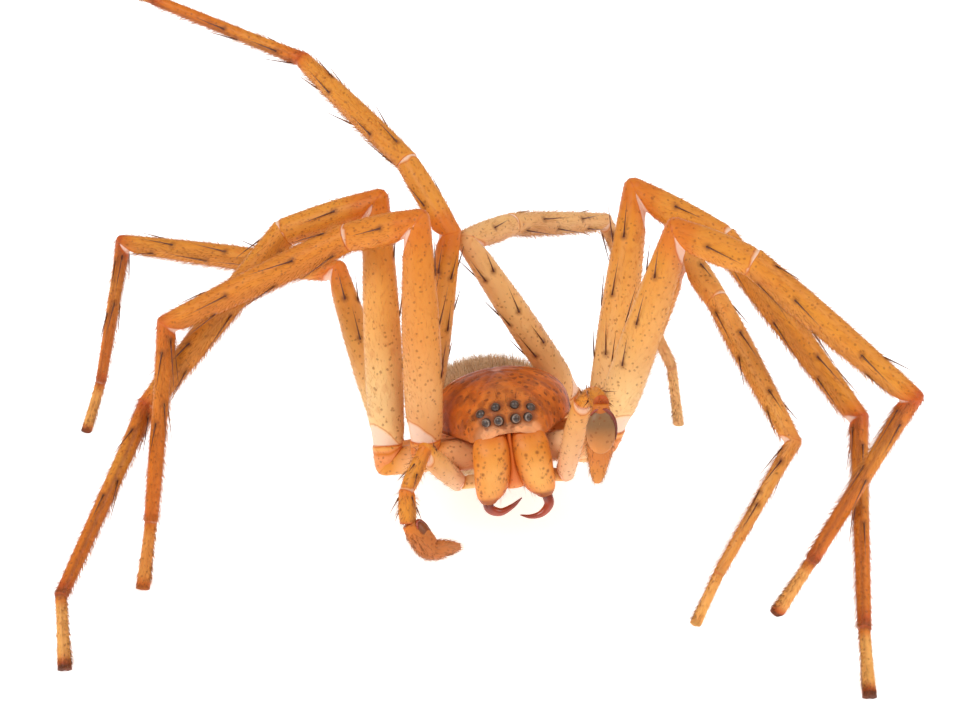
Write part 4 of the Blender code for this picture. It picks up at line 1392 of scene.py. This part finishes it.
# %% Skin between the jaws
WEB = ((0.0, -3.15, 0.15), (0.0, -3.45, -0.8), (0.0, -3.5, -1.6), (0.02, -3.4, -2.2), (0.04, -3.2, -2.55))
WEB_SIZES = ((0.0, 0.10, 0.3), (0.5, 0.14, 0.3), (0.8, 0.30, 0.24), (1.0, 0.44, 0.12))
WEB_TINTS = ((0.0, RUST), (0.6, RUST), (0.85, seen(226, 120, 60)), (1.0, FLESH))
rings, shares, _ = round_path([in_body(*at) for at in WEB], WEB_SIZES, 30, 20, body_way(1, 0, 0))
skin("jaw_web", rings, belly_shell, "jaw", Tint=colours_through(WEB_TINTS, shares))

# %% [markdown]
# ## Palps
# The two palps are short limbs beside the jaws. On a grown male the last part is a hollow boot with a round organ in
# it, edged by a dark coiled thorn. The stalk is a limb like a leg, without a metatarsus. The left palp folds over so
# that its boot hangs down in front, and the right one hooks inwards near the floor.

# %% Palp sizes
PALP_PATH = {
    "right": (
        (-2.1, -3.0, 5.25), (-3.79, -5.0, 8.1), (-4.6, -6.3, 6.7), (-4.55, -7.0, 5.3), (-3.4, -7.2, 4.0),
        (-2.05, -7.0, 4.05),
    ),
    "left": (
        (2.95, -3.05, 5.75), (3.74, -4.8, 10.7), (4.2, -6.4, 12.0), (4.55, -7.9, 12.3), (4.5, -8.4, 10.3),
        (4.4, -8.3, 8.3),
    ),
}
PALP_BASE_START = (0.62, -2.05, -2.32)
# The longest radius of each segment, and the radius along it as a share of that
PALP_RADII = (0.36, 0.56, 0.42, 0.46)
PALP_SHAPE = ((0, 0.84), (0.3, 0.95), (0.6, 1.0), (1, 0.84))
# Hairs on each segment: how many, and how long
PALP_COVER = ((0.2, 0.6), (0.5, 0.8), (1.2, 1.1), (1.6, 1.2))
# Dark lines along the sides from this segment on: how strong, and how many degrees round from the back
PALP_LINES_FROM = 2
PALP_LINES = ((0.5, 75), (0.5, -75))
PALP_JOINTS = ((0.1, 0.35, 180, -0.3), (0.35, 0.15, 180, -0.6), (0.15, 0.05, 45, 0.0))
PALP_TINTS = (
    ((0.0, CREAM), (0.8, CREAM), (1.0, PALE_AMBER)),
    ((0.0, seen(242, 192, 150)), (0.5, seen(230, 174, 116)), (0.9, seen(230, 164, 88)), (1.0, AMBER)),
    ((0.0, ORANGE), (0.4, AMBER), (1.0, AMBER)),
    ((0.0, ORANGE), (0.4, AMBER), (0.9, AMBER), (1.0, RUST)),
)
PALP_SPINES = (
    (1, 10, 0.8, 0.7), (1, 60, 0.88, 0.7), (1, -60, 0.88, 0.7), (2, 0, 0.4, 0.7), (2, 60, 0.6, 0.9),
    (2, -60, 0.6, 0.9), (3, 70, 0.2, 1.1), (3, -70, 0.2, 1.1), (3, 110, 0.5, 1.0), (3, -110, 0.5, 1.0),
)
BOOT_RADII = (
    (0.0, 0.36, 0.32), (0.2, 0.60, 0.5), (0.45, 0.66, 0.54), (0.75, 0.48, 0.40), (0.92, 0.32, 0.26),
    (1.0, 0.18, 0.14),
)
BOOT_TINTS = {
    "left": ((0.0, ORANGE), (0.1, seen(186, 96, 36)), (0.4, seen(196, 118, 54)), (0.6, ORANGE), (1.0, AMBER)),
    "right": ((0.0, ORANGE), (0.3, seen(196, 112, 48)), (0.7, seen(206, 122, 60)), (1.0, seen(204, 128, 78))),
}
# The way that the round organ faces, in the model's directions
ORGAN_LOOKS = {"left": (0.05, -1.0, 0.35), "right": (0.8, -0.3, 0.55)}
# Length, width and colours of the round organ
ORGANS = {
    "left": (1.06, 0.70, seen(140, 98, 62), seen(228, 140, 64)),
    "right": (0.90, 0.42, seen(128, 62, 34), seen(160, 84, 44)),
}
# The ring of the boot that the organ sits on, how far out, and how deep it is
ORGAN_RING = 15
ORGAN_SEAT = 0.30
ORGAN_DEPTH = 0.30
THORN_RADIUS = ((0.0, 0.02), (0.4, 0.09), (0.7, 0.09), (1.0, 0.03))


def palp_tint(i, shares):
    tint = colours_through(PALP_TINTS[i], shares)
    for strength, turn in PALP_LINES if i >= PALP_LINES_FROM else ():
        tint = with_line(tint, strength, turn)
    return tint


# %% Palps


def make_palp(side, sign):
    joints = [np.array(point) + np.array(SHIFT) for point in PALP_PATH[side]]
    ways, across = along_chain(joints)
    x, y, z = PALP_BASE_START
    stalk = [in_body(sign * x, y, z), *joints[:4]]
    profiles = [[(t, radius * share) for t, share in PALP_SHAPE] for radius in PALP_RADII]
    segments = limb_segments(stalk, profiles, across, -sign)
    made = limb(segments, PALP_JOINTS, palp_tint, PALP_COVER)
    rows = []
    dice = np.random.default_rng(60 + sign)
    for i, turn, share, length in PALP_SPINES:
        root, outward, place = on_limb(segments[i], turn + dice.uniform(-8, 8), share)
        way = unit(segments[i]["way"] + outward * dice.uniform(0.35, 0.7))
        rows.append((root, way, outward, length * dice.uniform(0.8, 1.1), place))
    rings = made.pop("rings")
    made["Spot"] = gap_to_spines(rings, rows)
    nodes = [f"palp_{side}_{part}" for part in ("base", "femur", "tibia")]
    piece = skin(f"palp_stalk_{side}", rings, palp_shell, "palp", nodes, **made)
    spines_from(f"palp_spines_{side}", rows, thickness=0.035, socket=0.05)
    coat(piece, f"palp_hairs_{side}", "palp", body_hair, 24.0, 0.42, 0.010, 38, 60 + sign, stray=0.4)
    make_boot(side, sign, joints, ways, across)


def make_boot(side, sign, joints, ways, across):
    """The palp's last part, with its round organ and the thorn round it."""
    path = [
        joints[3] + ways[3] * 0.03, joints[3] * 0.55 + joints[4] * 0.45, joints[4], (joints[4] + joints[5]) / 2,
        joints[5],
    ]
    radii = [(t, wide * SKIN_SHARE, deep * SKIN_SHARE) for t, wide, deep in BOOT_RADII]
    rings, shares, along = round_path(path, radii, 48, 32, across)
    look = unit(ORGAN_LOOKS[side])
    front = np.clip(unit(rings - rings.mean(axis=1, keepdims=True)) @ look, 0, 1)
    tint = layered(colours_through(BOOT_TINTS[side], shares), (front * 0.3, seen(176, 110, 62)))
    boot = skin(
        f"palp_boot_{side}", rings, palp_shell, "palp", [f"palp_{side}_bulb"], Tint=tint,
        Cover=(1 - front) * np.clip(shares * 6, 0, 1), Lie=along,
    )
    coat(boot, f"boot_hairs_{side}", "palp", body_hair, 110.0, 0.34, 0.009, 30, 70 + sign, stray=0.35)
    make_organ(side, look, rings[ORGAN_RING].mean(axis=0), along[ORGAN_RING, 0])


def make_organ(side, look, middle, along):
    way = unit(along - look * (along @ look))
    wide = np.cross(way, look)
    long, broad, above, below = ORGANS[side]
    seat = middle + look * ORGAN_SEAT
    turns = circle(28)
    angles = np.linspace(0.05, math.pi * 0.75, 18)
    spoke = spokes(turns, way * long, wide * broad)
    rings = [seat + look * ORGAN_DEPTH * math.cos(angle) + spoke * math.sin(angle) for angle in angles]
    down = np.sin(angles)[:, None] * np.cos(turns)
    skin(f"palp_organ_{side}", rings, organ_shell, "palp", Tint=layered(above, (down * 0.9 + 0.25, below)))
    coil = [
        seat + look * 0.05 - way * (long + 0.02) * math.cos(angle) + wide * (broad + 0.02) * math.sin(angle)
        for angle in np.radians(np.linspace(-110, 45, 12))
    ]
    rings, shares, _ = round_path(coil, THORN_RADIUS, 48, 10, look)
    skin(f"palp_thorn_{side}", rings, fang_horn, "palp", Length=shares * 0.3)


for side, sign in BOTH_SIDES:
    make_palp(side, sign)

# %% [markdown]
# ## Underside
# Between the legs lies a flat plate, with the lower lip in front of it. They carry the legs' first segments and are
# hardly seen from above, yet they show as soon as the model is picked up. The waist joins the front body to the hind
# one, and a pair of silk glands ends the animal.

# %% Underside
# y and half width of the plate
PLATE = ((-2.1, 0.7), (-1.7, 1.0), (0.0, 1.02), (1.8, 0.98), (2.7, 0.6))
PLATE_TOP = -0.16
PLATE_BOTTOM = -2.2
LIP = ((0, -2.15, -1.9), (0, -2.5, -2.25), (0, -2.75, -2.55))
LIP_RADII = ((0.0, 0.42, 0.28), (0.5, 0.40, 0.26), (0.9, 0.26, 0.16), (1.0, 0.1, 0.06))

stations = np.linspace(PLATE[0][0], PLATE[-1][0], 40)
turns = circle(40)
square = np.sign(np.cos(turns)) * np.abs(np.cos(turns)) ** 0.6
tall = np.sign(np.sin(turns)) * np.abs(np.sin(turns)) ** 0.7
x = curve_through(PLATE, stations) * square
y = np.repeat(stations[:, None], 40, axis=1)
z = (PLATE_TOP + PLATE_BOTTOM) / 2 + (PLATE_TOP - PLATE_BOTTOM) / 2 * tall + 0 * x
down = np.clip(-np.sin(turns), 0, 1)[None]
margin = np.clip((np.abs(square) - 0.8) / 0.2, 0, 1)[None] * down
plate = skin(
    "chest_plate", in_frame(np.stack([x, y, z], -1)), belly_shell, "underside", ["sternum"],
    Tint=layered(WHITISH, (0.35 * down, AMBER), (0.6 * margin, RUST)), Cover=down, Lie=body_way(0, 1, -0.1),
)
coat(plate, "chest_hairs", "underside", body_hair, 14.0, 0.45, 0.01, 35, 31)
rings, _, _ = round_path([in_body(*at) for at in LIP], LIP_RADII, 20, 20, body_way(1, 0, 0))
skin("lower_lip", rings, belly_shell, "underside", Tint=RUST)

# %% [markdown]
# ## Hind body
# The hind body is an egg of soft skin under a thick woolly coat, beige and grey-brown above and cream below. The
# coat hides the skin, so the skin lies under the solid's surface by the coat's depth, and the hairs reach back out to
# it. The markings are worked out once, on the skin, and the hairs take them from there.

# %% Hind body sizes
ABDOMEN_CENTRE = (-0.55, 7.35, 3.15)
ABDOMEN_HALF = (4.25, 4.6, 3.05)
ABDOMEN_PITCH = -9.0
COAT_DEPTH = 0.32
BELLY = 0.92
abdomen_frame = (
    Matrix.Translation(Vector(ABDOMEN_CENTRE) + SHIFT) @ Matrix.Rotation(math.radians(ABDOMEN_PITCH), 4, "X")
)

# %% Hind body
angles = np.linspace(0.12, math.pi - 0.12, 60)
turns = circle(72)
half_x, half_y, half_z = [half - COAT_DEPTH for half in ABDOMEN_HALF]
share = np.sin(angles)[:, None] ** 0.85
x = half_x * share * np.cos(turns)
y = -half_y * np.cos(angles)[:, None] + 0 * x
z = half_z * share * np.sin(turns)
z = np.where(z > 0, z, z * BELLY)
folds = 0.05 * np.sin(y * 5.0) * np.clip(-np.abs(x) / 3 + 1, 0, 1) * (z > 0)
z = z + folds * share
above = np.clip(z / half_z + 0.15, 0, 1)
stripe = np.exp(-((x / 0.45) ** 2)) * np.clip((1.2 - y) / 1.5, 0, 1)
rows = np.exp(-((((y + 3.4) % 1.15) - 0.57) / 0.2) ** 2)
rows = rows * np.exp(-(((np.abs(x) - 0.95 + 0.09 * y) / 0.32) ** 2))
blotch = np.sin(x * 2.3 + 1.3 * np.sin(y * 1.9)) * np.sin(y * 2.7 + 0.7 * np.sin(x * 2.1))
tint = layered(
    seen(246, 214, 168),
    (above * 0.5, seen(246, 196, 140)),
    (above * np.clip(blotch, 0, 1) * 0.5, seen(176, 114, 64)),
    (above * stripe * 0.4, seen(150, 100, 60)),
    (above * rows * 0.7, seen(104, 64, 36)),
)
turned = np.array(abdomen_frame.to_3x3())
rings = np.stack([x, y, z], -1) @ turned.T + np.array(abdomen_frame.translation)
cover = np.clip(share * 3, 0, 1)
abdomen = skin(
    "abdomen_skin", rings, hide, "abdomen", ["abdomen"], Tint=tint, Cover=cover, Brush=above * cover,
    Lie=turned @ np.array((0, 1.0, -0.1)),
)
coat(abdomen, "abdomen_coat", "abdomen", coat_hair, 95.0, 0.78, 0.013, 32, 80, stray=0.45, bend=-10)
coat(abdomen, "abdomen_bristles", "abdomen", body_hair, 3.5, 1.1, 0.014, 45, 81, stray=0.4, where="Brush")

# %% Waist and silk glands
WAIST_START = (0.0, 2.8, -1.0)
WAIST_LENGTH = 1.0
WAIST_RADII = ((0.0, 0.39), (0.4, 0.33), (0.7, 0.36), (1.0, 0.42))
GLAND_SPACING = 0.4
GLAND_RADII = ((0.0, 0.29), (0.55, 0.29), (0.6, 0.25), (0.66, 0.27), (0.9, 0.22), (1.0, 0.12))
GLAND_TINTS = ((0.0, WHITISH), (0.6, PALE_AMBER), (1.0, BROWN))
SIDEWAYS = np.array((1.0, 0, 0))


def in_abdomen(x, y, z):
    """A point of the hind body's frame, in millimetres of the model."""
    return np.array(abdomen_frame @ Vector((x, y, z)))


start = in_body(*WAIST_START)
way = unit(in_abdomen(0.3, -ABDOMEN_HALF[1] * 0.62, ABDOMEN_HALF[2] * 0.55) - start)
path = [start + way * WAIST_LENGTH * t for t in (0, 0.5, 1.15)]
rings, _, _ = round_path(path, WAIST_RADII, 26, 24, SIDEWAYS)
skin("waist_skin", rings, belly_shell, "underside", ["waist"], Tint=RUST)

for side, sign in BOTH_SIDES:
    root = in_abdomen(sign * GLAND_SPACING, ABDOMEN_HALF[1] - 0.45, 0)
    tip = in_abdomen(sign * GLAND_SPACING * 1.2, ABDOMEN_HALF[1] + 1.0, 0.1)
    rings, shares, along = round_path([root, (root + tip) / 2, tip], GLAND_RADII, 40, 20, SIDEWAYS)
    gland = skin(
        f"silk_gland_{side}", rings, belly_shell, "underside", [f"spinneret_{side}"], Cover=shares > 0.3,
        Tint=colours_through(GLAND_TINTS, shares), Lie=along,
    )
    coat(gland, f"silk_gland_hairs_{side}", "underside", body_hair, 40.0, 0.35, 0.01, 25, 90 + sign)
